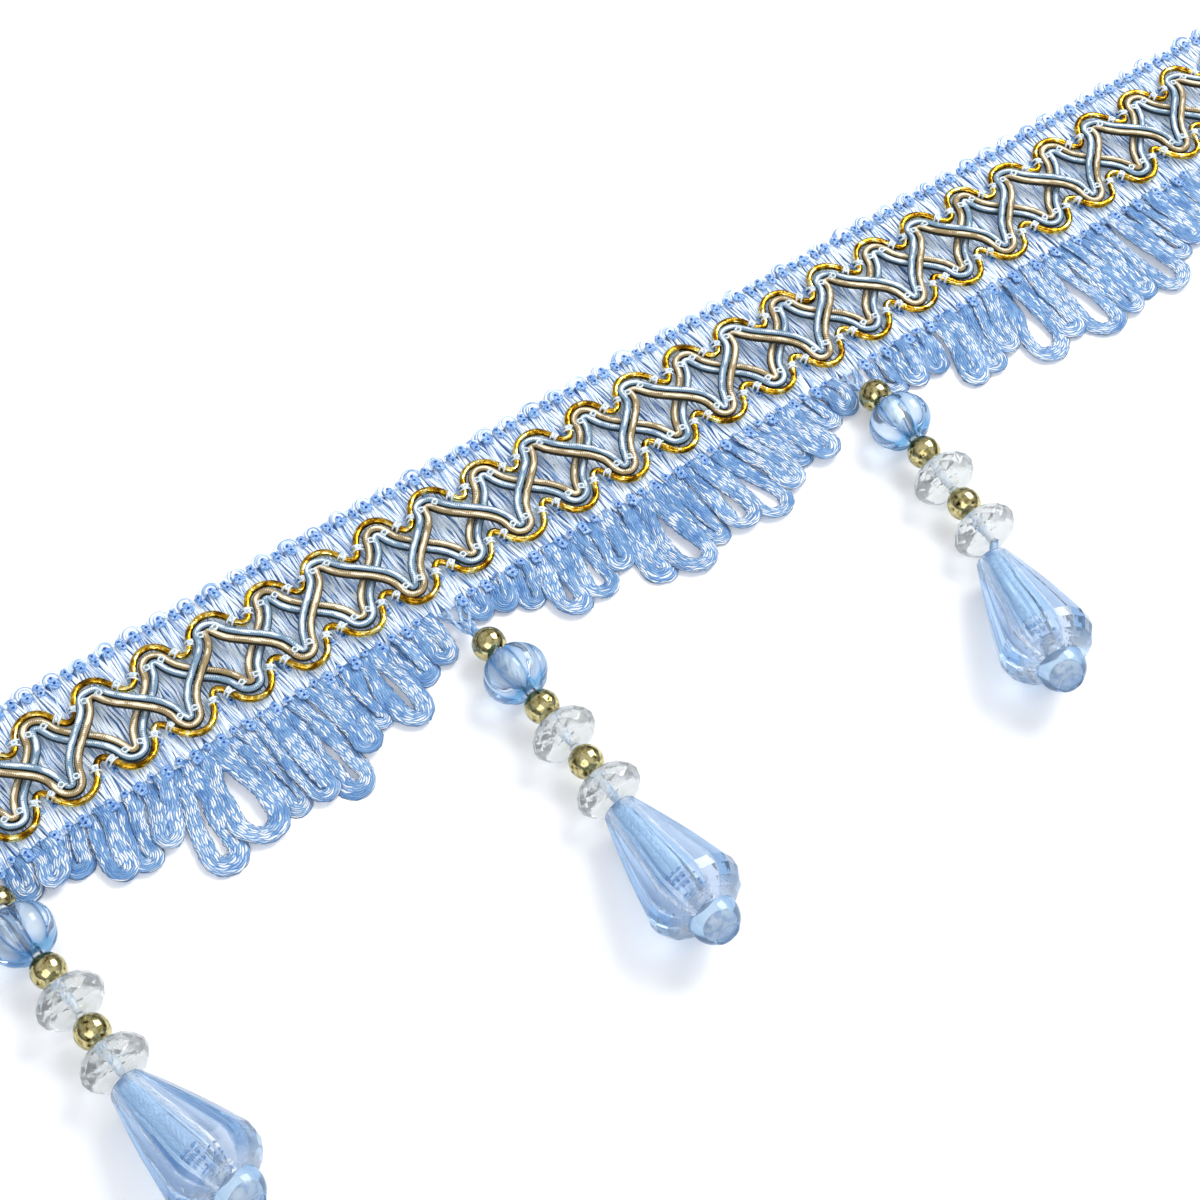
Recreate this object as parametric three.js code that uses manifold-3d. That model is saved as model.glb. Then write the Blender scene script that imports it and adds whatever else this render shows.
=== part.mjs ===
// Beaded fringe trim: a cut length of light-blue galloon with a two-band gimp braid,
// gold edging cords, a scalloped loop fringe and four beaded pendants, laid flat on z = 0.
// Millimetres, +Z up, the trim runs along X and its pendants point to -Y.
// Y is measured from the middle of the heading until the last lines centre the whole part.

import * as THREE from 'three';
import { mergeVertices } from 'three/addons/utils/BufferGeometryUtils.js';
import Module from 'manifold-3d';

const wasm = await Module();
wasm.setup();

// Driving dimensions
const TRIM_LENGTH = 330;
const HALF_REPEAT = 11.4;            // top arch of one band to top arch of the other
const STITCHES_PER_PITCH = 17;       // one stitch carries the pendant, the rest a loop each
const PENDANT_PITCH = 8 * HALF_REPEAT;
const FIRST_PENDANT = 20;            // from the left end
const CLEARANCE = 0.3;               // between neighbouring pieces

// Heading: the knitted ground
const HEADING_TOP = 14.0;
const HEADING_FOOT = -12.7;
const HEADING_THICK = 1.6;
const EDGE_LOOP_RISE = 1.2;
const EDGE_LOOP_STEPS = 3;

// Loop fringe
const STITCH_PITCH = PENDANT_PITCH / STITCHES_PER_PITCH;
const BACKING_TOP = HEADING_FOOT - CLEARANCE;
const BACKING_WIDTH = 2.2;
const BACKING_THICK = 1.8;
const STRAND_WIDTH = 1.7;
const STRAND_THICK = 1.5;
const ROOT_SPREAD = 2.3;             // leg to leg where a loop leaves the backing
const BULB_SHARE = 0.72;             // how far down its reach a loop is widest
const TIP_STEPS = 5;                 // steps round a loop's tip
const PENDANT_ROOM = 6.2;            // left free in the fringe for a pendant's yarn

// One row for each scallop, one column for each loop from left to right:
// reach below the backing, and the width that the loop takes up.
const SCALLOPS = [
  {
    reach: [5.5, 6, 6.5, 11.5, 12, 10.5, 19.5, 18.5, 17.5, 18, 20, 14.5, 11.5, 14.5, 8.5, 7.5],
    width: [4.5, 4.7, 4.9, 4.7, 4.9, 4.6, 7.1, 9.0, 4.9, 4.5, 6.6, 4.5, 4.7, 6.6, 4.8, 4.8],
  },
  {
    reach: [3.5, 4.5, 7, 12, 12, 9, 15, 17.5, 14.5, 15, 16, 12.5, 10, 11, 6, 5.5],
    width: [4.2, 4.3, 4.6, 6.2, 6.6, 4.4, 5.0, 8.2, 4.6, 6.6, 7.0, 4.5, 4.5, 4.9, 4.5, 4.8],
  },
  {
    reach: [7, 7.5, 8, 13.5, 13.5, 11.5, 17.5, 15.5, 19, 18, 16.5, 18.5, 13.5, 12, 9, 6.5],
    width: [4.6, 4.5, 4.6, 4.7, 4.7, 4.5, 8.6, 4.5, 8.2, 5.0, 4.8, 7.2, 4.9, 4.6, 4.6, 4.5],
  },
];

// Gimp braid: two zigzag bands, each of a blue and a beige cord side by side
const BAND_MIDDLE = -0.6;
const BAND_RISE = 7.0;               // middle of the band to the middle of its arch
const NECK_DRAW = 1.16;              // draws the arches' necks together
const LIMB_EASE = 0.5;               // rounds the arches and flattens the limbs
const FIRST_Q_ARCH = 13.0;           // a top arch of the lower band
const P_AFTER_Q = 10.7;              // the upper band's next top arch
const GIMP_WIDTH = 1.2;
const GIMP_THICK = 1.3;
const GIMP_TOP_SHARE = 0.6;          // a cord's top face as a share of its width
const GIMP_OFFSET = (GIMP_WIDTH + CLEARANCE) / 2;
const GIMP_STEPS = 5;                // steps in one half repeat
const TANGENT_STEP = 0.01;           // of a turn's angle, either side, to find its direction
const CROSSING_LIFT = 1.75;          // how far the upper band rises over the lower one

// Gold edging cords
const GOLD_WIDTH = 1.0;
const GOLD_THICK = 1.1;
const GOLD_STEPS = 4;
const GOLD_TOP = { middle: 6.25, rise: 2.5, spread: 0.75, round: 0.28, side: 1 };
const GOLD_FOOT = { middle: -7.6, rise: 2.6, spread: 0.75, round: 0.28, side: -1 };

// Beads
const BORE = 1.0;
const YARN = 0.7;
const GOLD_BEAD = 3.0;
const GOLD_BEAD_STEPS = 4;
const GOLD_BEAD_SIDES = 8;
const MELON = { radius: 5.75, half: 4.55, lobes: 8, groove: 0.5, shoulder: 1.2, steps: 5 };
const RONDELLE = { radius: 5.9, half: 3.1, girdle: 0.7, table: 3.3, facets: 10 };
const DROP = {
  mouth: 3.15, widest: 8.5, body: 19.8, shoulder: 23.3, shoulderRadius: 7.2,
  neck: 24.8, knob: 4.3, knobFace: 2.8, knobEdge: 1.6, length: 30.2, bore: 14, flutes: 16,
};
const BEAD_GAP = CLEARANCE;
const YARN_HEIGHT = 0.9;             // middle of the yarn where it leaves the fringe
const STRING_HEIGHT = RONDELLE.radius * Math.cos(Math.PI / RONDELLE.facets);
const DROP_CLIMB = Math.asin((DROP.widest * Math.cos(Math.PI / DROP.flutes) - STRING_HEIGHT) / DROP.body);
const YARN_START = BACKING_TOP - BACKING_WIDTH - CLEARANCE;

// One row for each pendant. aside: how far right of its place in the scallops the yarn starts.
// yarn: yarn shown above the first bead. string: turn of the bead string to the right, in
// degrees. gap: yarn shown above the drop. shift: how far right of the string the drop's mouth
// lies. drop: turn of the drop from the string to the right, in degrees.
const PENDANTS = [
  { aside: -0.4, yarn: 1.7, string: 0.2, gap: 1.2, shift: -0.5, drop: 8 },
  { aside: 0.9, yarn: 6.9, string: -1.8, gap: 1.1, shift: -0.6, drop: -1 },
  { aside: -0.8, yarn: 3.7, string: -7.2, gap: 3, shift: -2.3, drop: -9 },
  { aside: 0, yarn: 4.5, string: 3, gap: 1.1, shift: 0, drop: -3 },
];

const materials = {
  ground: finish(0xa9c8ee, 0.45, 0),
  loops: finish(0x8fb6e4, 0.5, 0),
  blue: finish(0x8fb0c8, 0.5, 0),
  beige: finish(0xc9b68c, 0.5, 0),
  foil: finish(0xd4a010, 0.25, 0.9),
  brass: finish(0xb8a860, 0.2, 0.95),
  blueGlass: finish(0x7fb2e6, 0.08, 0),
  clearGlass: finish(0xe4ece8, 0.05, 0),
  yarn: finish(0x9cc0ea, 0.6, 0),
};

function finish(color, roughness, metalness) {
  return new THREE.MeshStandardMaterial({ color, roughness, metalness });
}

function named(name, geometry, material) {
  const mesh = new THREE.Mesh(geometry, material);
  mesh.name = name;
  return mesh;
}

function closedGeometry(positions, indices) {
  const geometry = new THREE.BufferGeometry();
  geometry.setAttribute('position', new THREE.Float32BufferAttribute(positions, 3));
  geometry.setIndex(indices);
  return geometry;
}

// Carries a flat section along a path: each section point is [across, up], counter-clockwise
// when seen against the direction of travel, and across points to the left of the path.
function sweep(path, section) {
  const positions = [];
  const indices = [];
  const sides = section.length;
  path.forEach((point, i) => {
    const before = path[Math.max(i - 1, 0)];
    const after = path[Math.min(i + 1, path.length - 1)];
    const left = new THREE.Vector2(before.y - after.y, after.x - before.x).normalize();
    for (const [across, up] of section) {
      positions.push(point.x + left.x * across, point.y + left.y * across, point.z + up);
    }
  });
  for (let i = 0; i + 1 < path.length; i += 1) {
    for (let j = 0; j < sides; j += 1) {
      const a = i * sides + j;
      const b = i * sides + (j + 1) % sides;
      indices.push(a, b, b + sides, a, b + sides, a + sides);
    }
  }
  const last = (path.length - 1) * sides;
  for (let j = 1; j + 1 < sides; j += 1) {
    indices.push(0, j + 1, j);
    indices.push(last, last + j, last + j + 1);
  }
  return closedGeometry(positions, indices);
}

// A section with a flat foot and a narrower flat top, resting on its own zero height.
function trapezoid(width, thick, topShare) {
  const half = width / 2;
  return [[half, 0], [half * topShare, thick], [-half * topShare, thick], [-half, 0]];
}

// A three-sided section with its ridge on top.
function ridge(width, thick) {
  return [[width / 2, 0], [0, thick], [-width / 2, 0]];
}

function toManifold(geometry) {
  const plain = geometry.clone();
  plain.deleteAttribute('normal');
  plain.deleteAttribute('uv');
  const merged = mergeVertices(plain, 1e-4);
  const vertProperties = new Float32Array(merged.attributes.position.array);
  const triVerts = new Uint32Array(merged.index.array);
  return new wasm.Manifold(new wasm.Mesh({ numProp: 3, vertProperties, triVerts }));
}

function fromManifold(solid) {
  const mesh = solid.getMesh();
  return closedGeometry(Array.from(mesh.vertProperties), Array.from(mesh.triVerts));
}

// Heading: a flat band whose upper edge is a row of small yarn loops.
function headingGeometry() {
  const half = TRIM_LENGTH / 2;
  const count = Math.round(TRIM_LENGTH / STITCH_PITCH);
  const pitch = TRIM_LENGTH / count;
  const outline = new THREE.Shape();
  outline.moveTo(-half, HEADING_FOOT);
  outline.lineTo(half, HEADING_FOOT);
  for (let i = 0; i < count; i += 1) {
    for (let step = 0; step < EDGE_LOOP_STEPS; step += 1) {
      const share = step / EDGE_LOOP_STEPS;
      const x = half - (i + share) * pitch;
      outline.lineTo(x, HEADING_TOP + EDGE_LOOP_RISE * Math.sin(Math.PI * share));
    }
  }
  outline.lineTo(-half, HEADING_TOP);
  return new THREE.ExtrudeGeometry(outline, { depth: HEADING_THICK, bevelEnabled: false });
}

// A loop of strand: down the left leg, round the tip and up the right leg. It leaves the
// backing at rootX, and its tip lies at tipX, reach below the backing.
function loopPath(rootX, tipX, reach, width) {
  const rootY = BACKING_TOP - BACKING_WIDTH / 2;
  const footY = BACKING_TOP - BACKING_WIDTH - reach + STRAND_WIDTH / 2;
  const radius = (width - CLEARANCE - STRAND_WIDTH) / 2;
  const bulbY = Math.min(rootY - (rootY - footY) * BULB_SHARE, footY + radius);
  const across = THREE.MathUtils.mapLinear(bulbY, rootY, footY, rootX, tipX);
  const at = (x, y) => new THREE.Vector3(x, y, 0);
  const path = [at(rootX - ROOT_SPREAD / 2, rootY), at(across - radius, bulbY)];
  for (let step = 1; step < TIP_STEPS; step += 1) {
    const angle = Math.PI * step / TIP_STEPS;
    const x = THREE.MathUtils.lerp(across, tipX, Math.sin(angle)) - radius * Math.cos(angle);
    path.push(at(x, bulbY + (footY - bulbY) * Math.sin(angle)));
  }
  path.push(at(across + radius, bulbY), at(rootX + ROOT_SPREAD / 2, rootY));
  return path;
}

// Every loop of one scallop, packed side by side in the room between two pendants.
function scallopLoops(startX, room, reaches, widths) {
  const total = widths.reduce((sum, width) => sum + width, 0);
  const scale = room / total;
  const rootStep = room / widths.length;
  let edge = startX;
  return widths.map((width, i) => {
    const taken = width * scale;
    const tipX = edge + taken / 2;
    edge += taken;
    return { rootX: startX + (i + 0.5) * rootStep, tipX, reach: reaches[i], width: taken };
  });
}

// Loops between the pendants, then the cut ends, where the scallop goes on past a pendant.
function fringeLoops() {
  const left = -TRIM_LENGTH / 2;
  const first = left + FIRST_PENDANT;
  const halfRoom = PENDANT_ROOM / 2;
  const loops = SCALLOPS.flatMap(({ reach, width }, i) => (
    scallopLoops(first + i * PENDANT_PITCH + halfRoom, PENDANT_PITCH - PENDANT_ROOM, reach, width)
  ));
  const { reach, width } = SCALLOPS[0];
  const leftRoom = FIRST_PENDANT - halfRoom;
  const leftCount = Math.round(leftRoom / STITCH_PITCH);
  loops.push(...scallopLoops(left, leftRoom, reach.slice(-leftCount), width.slice(-leftCount)));
  const rightStart = first + SCALLOPS.length * PENDANT_PITCH + halfRoom;
  const rightRoom = TRIM_LENGTH / 2 - rightStart;
  const rightCount = Math.round(rightRoom / STITCH_PITCH);
  const rightEnd = [reach.slice(0, rightCount), width.slice(0, rightCount)];
  loops.push(...scallopLoops(rightStart, rightRoom, ...rightEnd));
  return loops;
}

function fringeGeometry() {
  const backing = new THREE.BoxGeometry(TRIM_LENGTH, BACKING_WIDTH, BACKING_THICK);
  backing.translate(0, BACKING_TOP - BACKING_WIDTH / 2, BACKING_THICK / 2);
  const section = ridge(STRAND_WIDTH, STRAND_THICK);
  const strands = fringeLoops().map(({ rootX, tipX, reach, width }) => (
    toManifold(sweep(loopPath(rootX, tipX, reach, width), section))
  ));
  return fromManifold(wasm.Manifold.union([toManifold(backing), ...strands]));
}

// Middle line of a band: a cosine in height, while its run is eased so that the arches are
// round, their necks steep and the limbs between them flatter.
function bandPoint(angle, archX) {
  const run = HALF_REPEAT * angle / Math.PI;
  const eased = run - NECK_DRAW * Math.sin(2 * angle) + LIMB_EASE * Math.sin(4 * angle);
  return new THREE.Vector2(archX + eased, BAND_MIDDLE + BAND_RISE * Math.cos(angle));
}

// Angles of an even walk along the trim that stays between its two ends.
function walk(pointAt, steps, margin) {
  const limit = TRIM_LENGTH / 2 - margin;
  const angles = [];
  const halves = Math.ceil(TRIM_LENGTH / HALF_REPEAT) + 2;
  for (let i = -halves * steps; i <= halves * steps; i += 1) {
    const angle = Math.PI * i / steps;
    if (Math.abs(pointAt(angle).x) <= limit) {
      angles.push(angle);
    }
  }
  return angles;
}

// One cord of a band: the middle line moved sideways, and raised where its band crosses over.
function gimpGeometry(archX, side, lift) {
  const middle = (angle) => bandPoint(angle, archX);
  const path = walk(middle, GIMP_STEPS, GIMP_WIDTH).map((angle) => {
    const here = middle(angle);
    const ahead = middle(angle + TANGENT_STEP);
    const behind = middle(angle - TANGENT_STEP);
    const left = new THREE.Vector2(behind.y - ahead.y, ahead.x - behind.x).normalize();
    const z = HEADING_THICK + CLEARANCE + lift * Math.sin(angle) ** 2;
    return new THREE.Vector3(here.x + left.x * side, here.y + left.y * side, z);
  });
  return sweep(path, trapezoid(GIMP_WIDTH, GIMP_THICK, GIMP_TOP_SHARE));
}

// A gold cord that bows round every arch of the braid and dips between two arches.
function goldGeometry({ middle, rise, spread, round, side }) {
  const pointAt = (angle) => {
    const arch = angle / (2 * Math.PI);
    const run = HALF_REPEAT * arch + spread * Math.sin(angle) + round * Math.sin(2 * angle);
    return new THREE.Vector2(FIRST_Q_ARCH + run, middle + side * rise * Math.cos(angle));
  };
  const path = walk(pointAt, GOLD_STEPS, GOLD_WIDTH).map((angle) => {
    const here = pointAt(angle);
    return new THREE.Vector3(here.x, here.y, HEADING_THICK + CLEARANCE);
  });
  return sweep(path, ridge(GOLD_WIDTH, GOLD_THICK));
}

// A turned bead with a bore: the outside profile runs from foot to top, and the bore closes it.
function boredBead(profile, segments) {
  const points = profile.map(([radius, height]) => new THREE.Vector2(radius, height));
  points.push(points[0].clone());
  return new THREE.LatheGeometry(points, segments);
}

function goldBeadGeometry() {
  const start = Math.asin(BORE / GOLD_BEAD);
  const profile = [];
  for (let step = 0; step <= GOLD_BEAD_STEPS; step += 1) {
    const angle = THREE.MathUtils.lerp(start, Math.PI - start, step / GOLD_BEAD_STEPS);
    profile.push([GOLD_BEAD * Math.sin(angle), -GOLD_BEAD * Math.cos(angle)]);
  }
  return boredBead(profile, GOLD_BEAD_SIDES);
}

// A lobed bead: a barrel whose outside is drawn in between its lobes, and its bore is not.
// It lies on two lobes.
function melonGeometry() {
  const { radius, half, lobes, groove, shoulder, steps } = MELON;
  const profile = [[BORE, -half]];
  for (let step = 0; step <= steps; step += 1) {
    const angle = THREE.MathUtils.lerp(-shoulder, shoulder, step / steps);
    profile.push([radius * Math.cos(angle), half * Math.sin(angle) / Math.sin(shoulder)]);
  }
  profile.push([BORE, half]);
  const geometry = boredBead(profile, 2 * lobes);
  const position = geometry.attributes.position;
  for (let i = 0; i < position.count; i += 1) {
    const x = position.getX(i);
    const z = position.getZ(i);
    const out = Math.hypot(x, z);
    const onBore = out < BORE * 1.01;
    const depth = onBore ? 0 : groove * (1 - Math.cos(Math.atan2(z, x) * lobes)) / 2;
    const share = (out - depth) / out;
    position.setXYZ(i, x * share, position.getY(i), z * share);
  }
  return geometry.rotateY(Math.PI / lobes);
}

function rondelleGeometry() {
  const { radius, half, girdle, table } = RONDELLE;
  const foot = [[BORE, -half], [table, -half], [radius, -girdle]];
  const profile = [...foot, [radius, girdle], [table, half], [BORE, half]];
  return boredBead(profile, RONDELLE.facets).rotateY(Math.PI / RONDELLE.facets);
}

// The drop hangs mouth up along +Y, with its mouth at zero height and a blind bore for the yarn.
function dropGeometry() {
  const { mouth, widest, body, shoulder, shoulderRadius, neck, knob, length, bore, flutes } = DROP;
  const profile = [
    [0, -length], [DROP.knobFace, -length], [knob, -length + DROP.knobEdge], [knob, -neck],
    [shoulderRadius, -shoulder], [widest, -body], [mouth, 0], [BORE, 0], [BORE, -bore], [0, -bore],
  ];
  const points = profile.map(([radius, height]) => new THREE.Vector2(radius, height));
  return new THREE.LatheGeometry(points, flutes).rotateY(Math.PI / flutes);
}

// A string of beads in its own frame: it leaves the fringe at zero, climbs through the first
// gold bead, runs level along -Y and turns into the drop.
function pendant(name, { yarn, gap, shift, drop }) {
  const group = new THREE.Group();
  const slope = yarn + 2 * GOLD_BEAD;
  const climb = Math.asin((STRING_HEIGHT - YARN_HEIGHT) / slope);
  const along = (distance) => {
    const height = YARN_HEIGHT + distance * Math.sin(climb);
    return new THREE.Vector3(0, -distance * Math.cos(climb), height);
  };
  const top = along(slope);
  const level = (distance) => new THREE.Vector3(0, top.y - distance, STRING_HEIGHT);
  const place = (label, geometry, material, position, climbAngle = 0) => {
    const bead = named(`${name}_${label}`, geometry, material);
    bead.position.copy(position);
    bead.rotation.x = -climbAngle;
    group.add(bead);
  };
  const melonAt = BEAD_GAP + GOLD_BEAD * (1 - Math.cos(climb)) + MELON.half;
  const goldAt = melonAt + MELON.half + BEAD_GAP + GOLD_BEAD;
  const step = GOLD_BEAD + BEAD_GAP + RONDELLE.half;
  place('gold_bead_1', goldBeadGeometry(), materials.brass, along(yarn + GOLD_BEAD), climb);
  place('melon_bead', melonGeometry(), materials.blueGlass, level(melonAt));
  place('gold_bead_2', goldBeadGeometry(), materials.brass, level(goldAt));
  place('rondelle_1', rondelleGeometry(), materials.clearGlass, level(goldAt + step));
  place('gold_bead_3', goldBeadGeometry(), materials.brass, level(goldAt + 2 * step));
  place('rondelle_2', rondelleGeometry(), materials.clearGlass, level(goldAt + 3 * step));

  const lastFace = goldAt + 3 * step + RONDELLE.half;
  const mouth = level(lastFace + gap).add(new THREE.Vector3(shift, 0, 0));
  const dropAim = new THREE.Group();
  dropAim.position.copy(mouth);
  dropAim.rotation.set(0, 0, THREE.MathUtils.degToRad(drop));
  const body = named(`${name}_drop`, dropGeometry(), materials.blueGlass);
  body.rotation.x = -DROP_CLIMB;
  dropAim.add(body);
  group.add(dropAim);

  const inside = new THREE.Vector3(0, -(DROP.bore - YARN), 0);
  inside.applyAxisAngle(new THREE.Vector3(1, 0, 0), -DROP_CLIMB);
  inside.applyAxisAngle(new THREE.Vector3(0, 0, 1), THREE.MathUtils.degToRad(drop));
  const path = [along(0), top, level(lastFace), mouth, mouth.clone().add(inside)];
  group.add(named(`${name}_yarn`, sweep(path, hexagon(YARN)), materials.yarn));
  return group;
}

function hexagon(radius) {
  return Array.from({ length: 6 }, (_, i) => {
    const angle = Math.PI * i / 3;
    return [radius * Math.cos(angle), radius * Math.sin(angle)];
  });
}

const trim = new THREE.Group();
trim.add(named('heading', headingGeometry(), materials.ground));
trim.add(named('fringe_loops', fringeGeometry(), materials.loops));

const archQ = FIRST_Q_ARCH;
const archP = FIRST_Q_ARCH + P_AFTER_Q;
trim.add(named('gimp_lower_blue', gimpGeometry(archQ, -GIMP_OFFSET, 0), materials.blue));
trim.add(named('gimp_lower_beige', gimpGeometry(archQ, GIMP_OFFSET, 0), materials.beige));
trim.add(named('gimp_upper_blue', gimpGeometry(archP, GIMP_OFFSET, CROSSING_LIFT), materials.blue));
trim.add(named('gimp_upper_beige', gimpGeometry(archP, -GIMP_OFFSET, CROSSING_LIFT), materials.beige));
trim.add(named('gold_cord_top', goldGeometry(GOLD_TOP), materials.foil));
trim.add(named('gold_cord_foot', goldGeometry(GOLD_FOOT), materials.foil));

PENDANTS.forEach((row, i) => {
  const group = pendant(`pendant_${i + 1}`, row);
  const place = -TRIM_LENGTH / 2 + FIRST_PENDANT + i * PENDANT_PITCH;
  group.position.set(place + row.aside, YARN_START, 0);
  group.rotation.z = THREE.MathUtils.degToRad(row.string);
  trim.add(group);
});

// The origin is the middle of the whole part's outline, on the surface it lies on.
const extent = new THREE.Box3().setFromObject(trim, true);
const middle = extent.getCenter(new THREE.Vector3());
trim.position.set(-middle.x, -middle.y, 0);

export default trim;
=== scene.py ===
"""Looks of a beaded fringe trim that lies flat: satin weft, chain stitches, gimp braid, gold
cords, loops of knitted ribbon and four bead pendants.

Sizes are millimetres in the trim's own frame: x runs along it from its middle, y across it
from near the heading's middle towards the looped edge, z up from the surface below.
add_piece turns them into metres in the row frame.
"""
import math
from functools import partial

import bpy
import numpy as np
from mathutils import Matrix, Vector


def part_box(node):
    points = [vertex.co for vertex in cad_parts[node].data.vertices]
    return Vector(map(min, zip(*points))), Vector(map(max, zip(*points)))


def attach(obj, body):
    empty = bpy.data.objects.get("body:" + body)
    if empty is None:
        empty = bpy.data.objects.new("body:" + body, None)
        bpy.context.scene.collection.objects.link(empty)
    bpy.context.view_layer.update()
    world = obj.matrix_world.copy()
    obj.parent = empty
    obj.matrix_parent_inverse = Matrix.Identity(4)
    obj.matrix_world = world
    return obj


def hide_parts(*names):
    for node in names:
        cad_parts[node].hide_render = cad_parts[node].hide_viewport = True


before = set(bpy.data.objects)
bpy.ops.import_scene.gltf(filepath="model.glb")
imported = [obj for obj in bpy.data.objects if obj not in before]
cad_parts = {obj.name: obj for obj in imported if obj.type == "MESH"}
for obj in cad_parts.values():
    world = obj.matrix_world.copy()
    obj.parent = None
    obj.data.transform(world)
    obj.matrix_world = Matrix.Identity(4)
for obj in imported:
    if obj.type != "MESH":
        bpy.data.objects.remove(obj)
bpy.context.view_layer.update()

# The trim's own frame in the row frame
MM = 0.001
HEADING_FOOT = -12.7
heading_low, heading_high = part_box("heading")
HALF_LENGTH = (heading_high[0] - heading_low[0]) / MM / 2
ORIGIN_X = (heading_high[0] + heading_low[0]) / MM / 2
ORIGIN_Y = heading_low[1] / MM - HEADING_FOOT
SURFACE_GAP = 0.02  # least height of the heading and the beads above the surface
YARN_GAP = 0.03  # the same for ribbon and yarn

# Heading
HEADING_TOP = 14.0
HEADING_THICK = 1.6
GROUND_THICK = 0.7
GROUND_POWER = 0.35  # squares the edges of the ground's oval section
STITCH_PITCH = 2.635  # one chain stitch, and one pass of the weft
WEFT_ENDS = 8  # yarns laid side by side in one pass
WEFT_TURNS = 4  # legs of the zigzag that a pass makes
WEFT_LEAN = 0.72  # how far a leg goes aside
WEFT_WIDTH = 0.46
WEFT_THICK = 0.4
WEFT_TOP = 12.9
WEFT_FOOT = -13.2
WEFT_ROWS = (5.6, -5.6)  # hidden rows of stitches that draw the weft together
WEFT_SPREAD = 1.12  # spacing of a pass's yarns between two rows of stitches
WEFT_DRAWN = 0.24  # how much less it is at a row
ROW_PULL = 1.2  # how far from a row its pull is felt

# Chain stitches
STITCH_HEIGHT = 1.6  # foot of their mounds
FRINGE_STITCH_HEIGHT = 1.75  # the same between the ribbon's roots
STITCH_GAP = 1.1  # between the two mounds of a stitch
FRINGE_STITCH_GAP = 1.0
WIDE_MOUND = 1.05
ROOT_MOUND = 0.95
SMALL_MOUND = 0.75
MOUND_RISE = 0.2
EYE_RADIUS = 0.3  # the dark eye of a stitch, painted shade where its hole lies
EYE_RISE = 0.12
EYE_LIFT = 0.15  # middle of the eye above the foot of its mound
EDGE_ROWS = (12.75, 12.45)  # every second stitch along the looped edge, and the others
DIP_ROWS = (5.7, -7.1)  # pairs of stitches in the dips of the gold cords
FRINGE_ROWS = (-13.3, -12.6)  # between the ribbon's roots, and over them

# Yarns that turn round past the looped edge, at every second stitch and at the others: half
# width, rise, height above the surface, radius.
TALL_TURNS = ((0.8, 0.75, 1.5, 0.28), (1.2, 1.15, 1.4, 0.28), (1.6, 1.55, 1.2, 0.28),
              (1.95, 1.9, 0.95, 0.28))
LOW_TURNS = ((0.8, 0.5, 1.2, 0.26), (1.25, 0.95, 0.95, 0.26))
TALL_TURNS_FOOT = 13.0
LOW_TURNS_FOOT = 12.9
TURNS_MARGIN = 2.6  # kept free at the trim's ends

# Braid: each band's cosine is eased so that its arches are round and its necks steep
HALF_REPEAT = 11.4  # top arch of one band to top arch of the other
BAND_MIDDLE = -0.6
BAND_RISE = 7.0
NECK_DRAW = 1.16
LIMB_EASE = 0.5
ARCH_Q = 13.0  # a top arch of the lower band
ARCH_P = 23.7  # the upper band's next top arch
GIMP_HALF = (0.7, 0.62)  # half of a cord's width and of its height
GIMP_OFFSET = 0.76  # middle of a band to the middle of its cord
CROSSING_LIFT = 1.75  # how far the upper band rises over the lower one
BRAID_BASE = 1.9  # height that the cords lie on

# Gold edging cords: middle line, rise, which way the arches go
GOLD_TOP = {"middle": 6.25, "rise": 2.5, "side": 1}
GOLD_FOOT = {"middle": -7.6, "rise": 2.6, "side": -1}
GOLD_SPREAD = 0.75  # widens its arches and narrows its dips
GOLD_ROUND = 0.28  # rounds both
GOLD_RADIUS = 0.65
GOLD_FLATS = 8
GOLD_TWIST = 0.05  # turn of the flats from one point of the path to the next

# Ties over the cords: size of the ring of thread, the thread's radius, and whether the ring has a
# dark eye of painted shade. Each lies some way round the cord's line, in radians from the nearest
# arch.
BAND_TIE = {"size": (0.9, 1.0), "thread": 0.18}
GOLD_TIE = {"size": (0.55, 0.9), "thread": 0.24, "eye": False}
BAND_TIE_PLACE = 0.6
GOLD_TIE_PLACE = 2.0
TAIL_STEP = 0.45  # middle of a tie to each of its two tails
TAIL_REACH = 0.55  # how far a tail runs past the ring
TAIL_DIP = 0.75  # how far its ends lie under its middle
TIE_LIFT = 0.05  # a band's tie over its cord, and its ring over its eye
TIE_EYE = (0.32, 0.16)  # radius and rise of that eye

# Loop fringe
BACKING_TOP = -13.0
BACKING_WIDTH = 2.2
RIBBON_HALF = (1.65, 0.4)  # half of a ribbon's width and of its thickness
RIBBON_COLUMNS = 18
RIBBON_STITCH = 2.0  # length of one knitted stitch
RIBBON_WALES = 20  # rows of stitches round the ribbon
RIBBON_UNDER = (0.42, 0.95)  # height of every second loop's left leg, and of the others
RIBBON_CLIMB = 0.5  # how much higher its right leg is
STRAND_WIDTH = 1.7  # room that a loop's leg takes up in the layout
ROOT_SPREAD = 2.3
PENDANT_PITCH = 8 * HALF_REPEAT
FIRST_PENDANT = 20.0
PENDANT_ROOM = 6.2
LOOP_GAP = 0.3
FRINGE_PITCH = PENDANT_PITCH / 17

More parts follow.
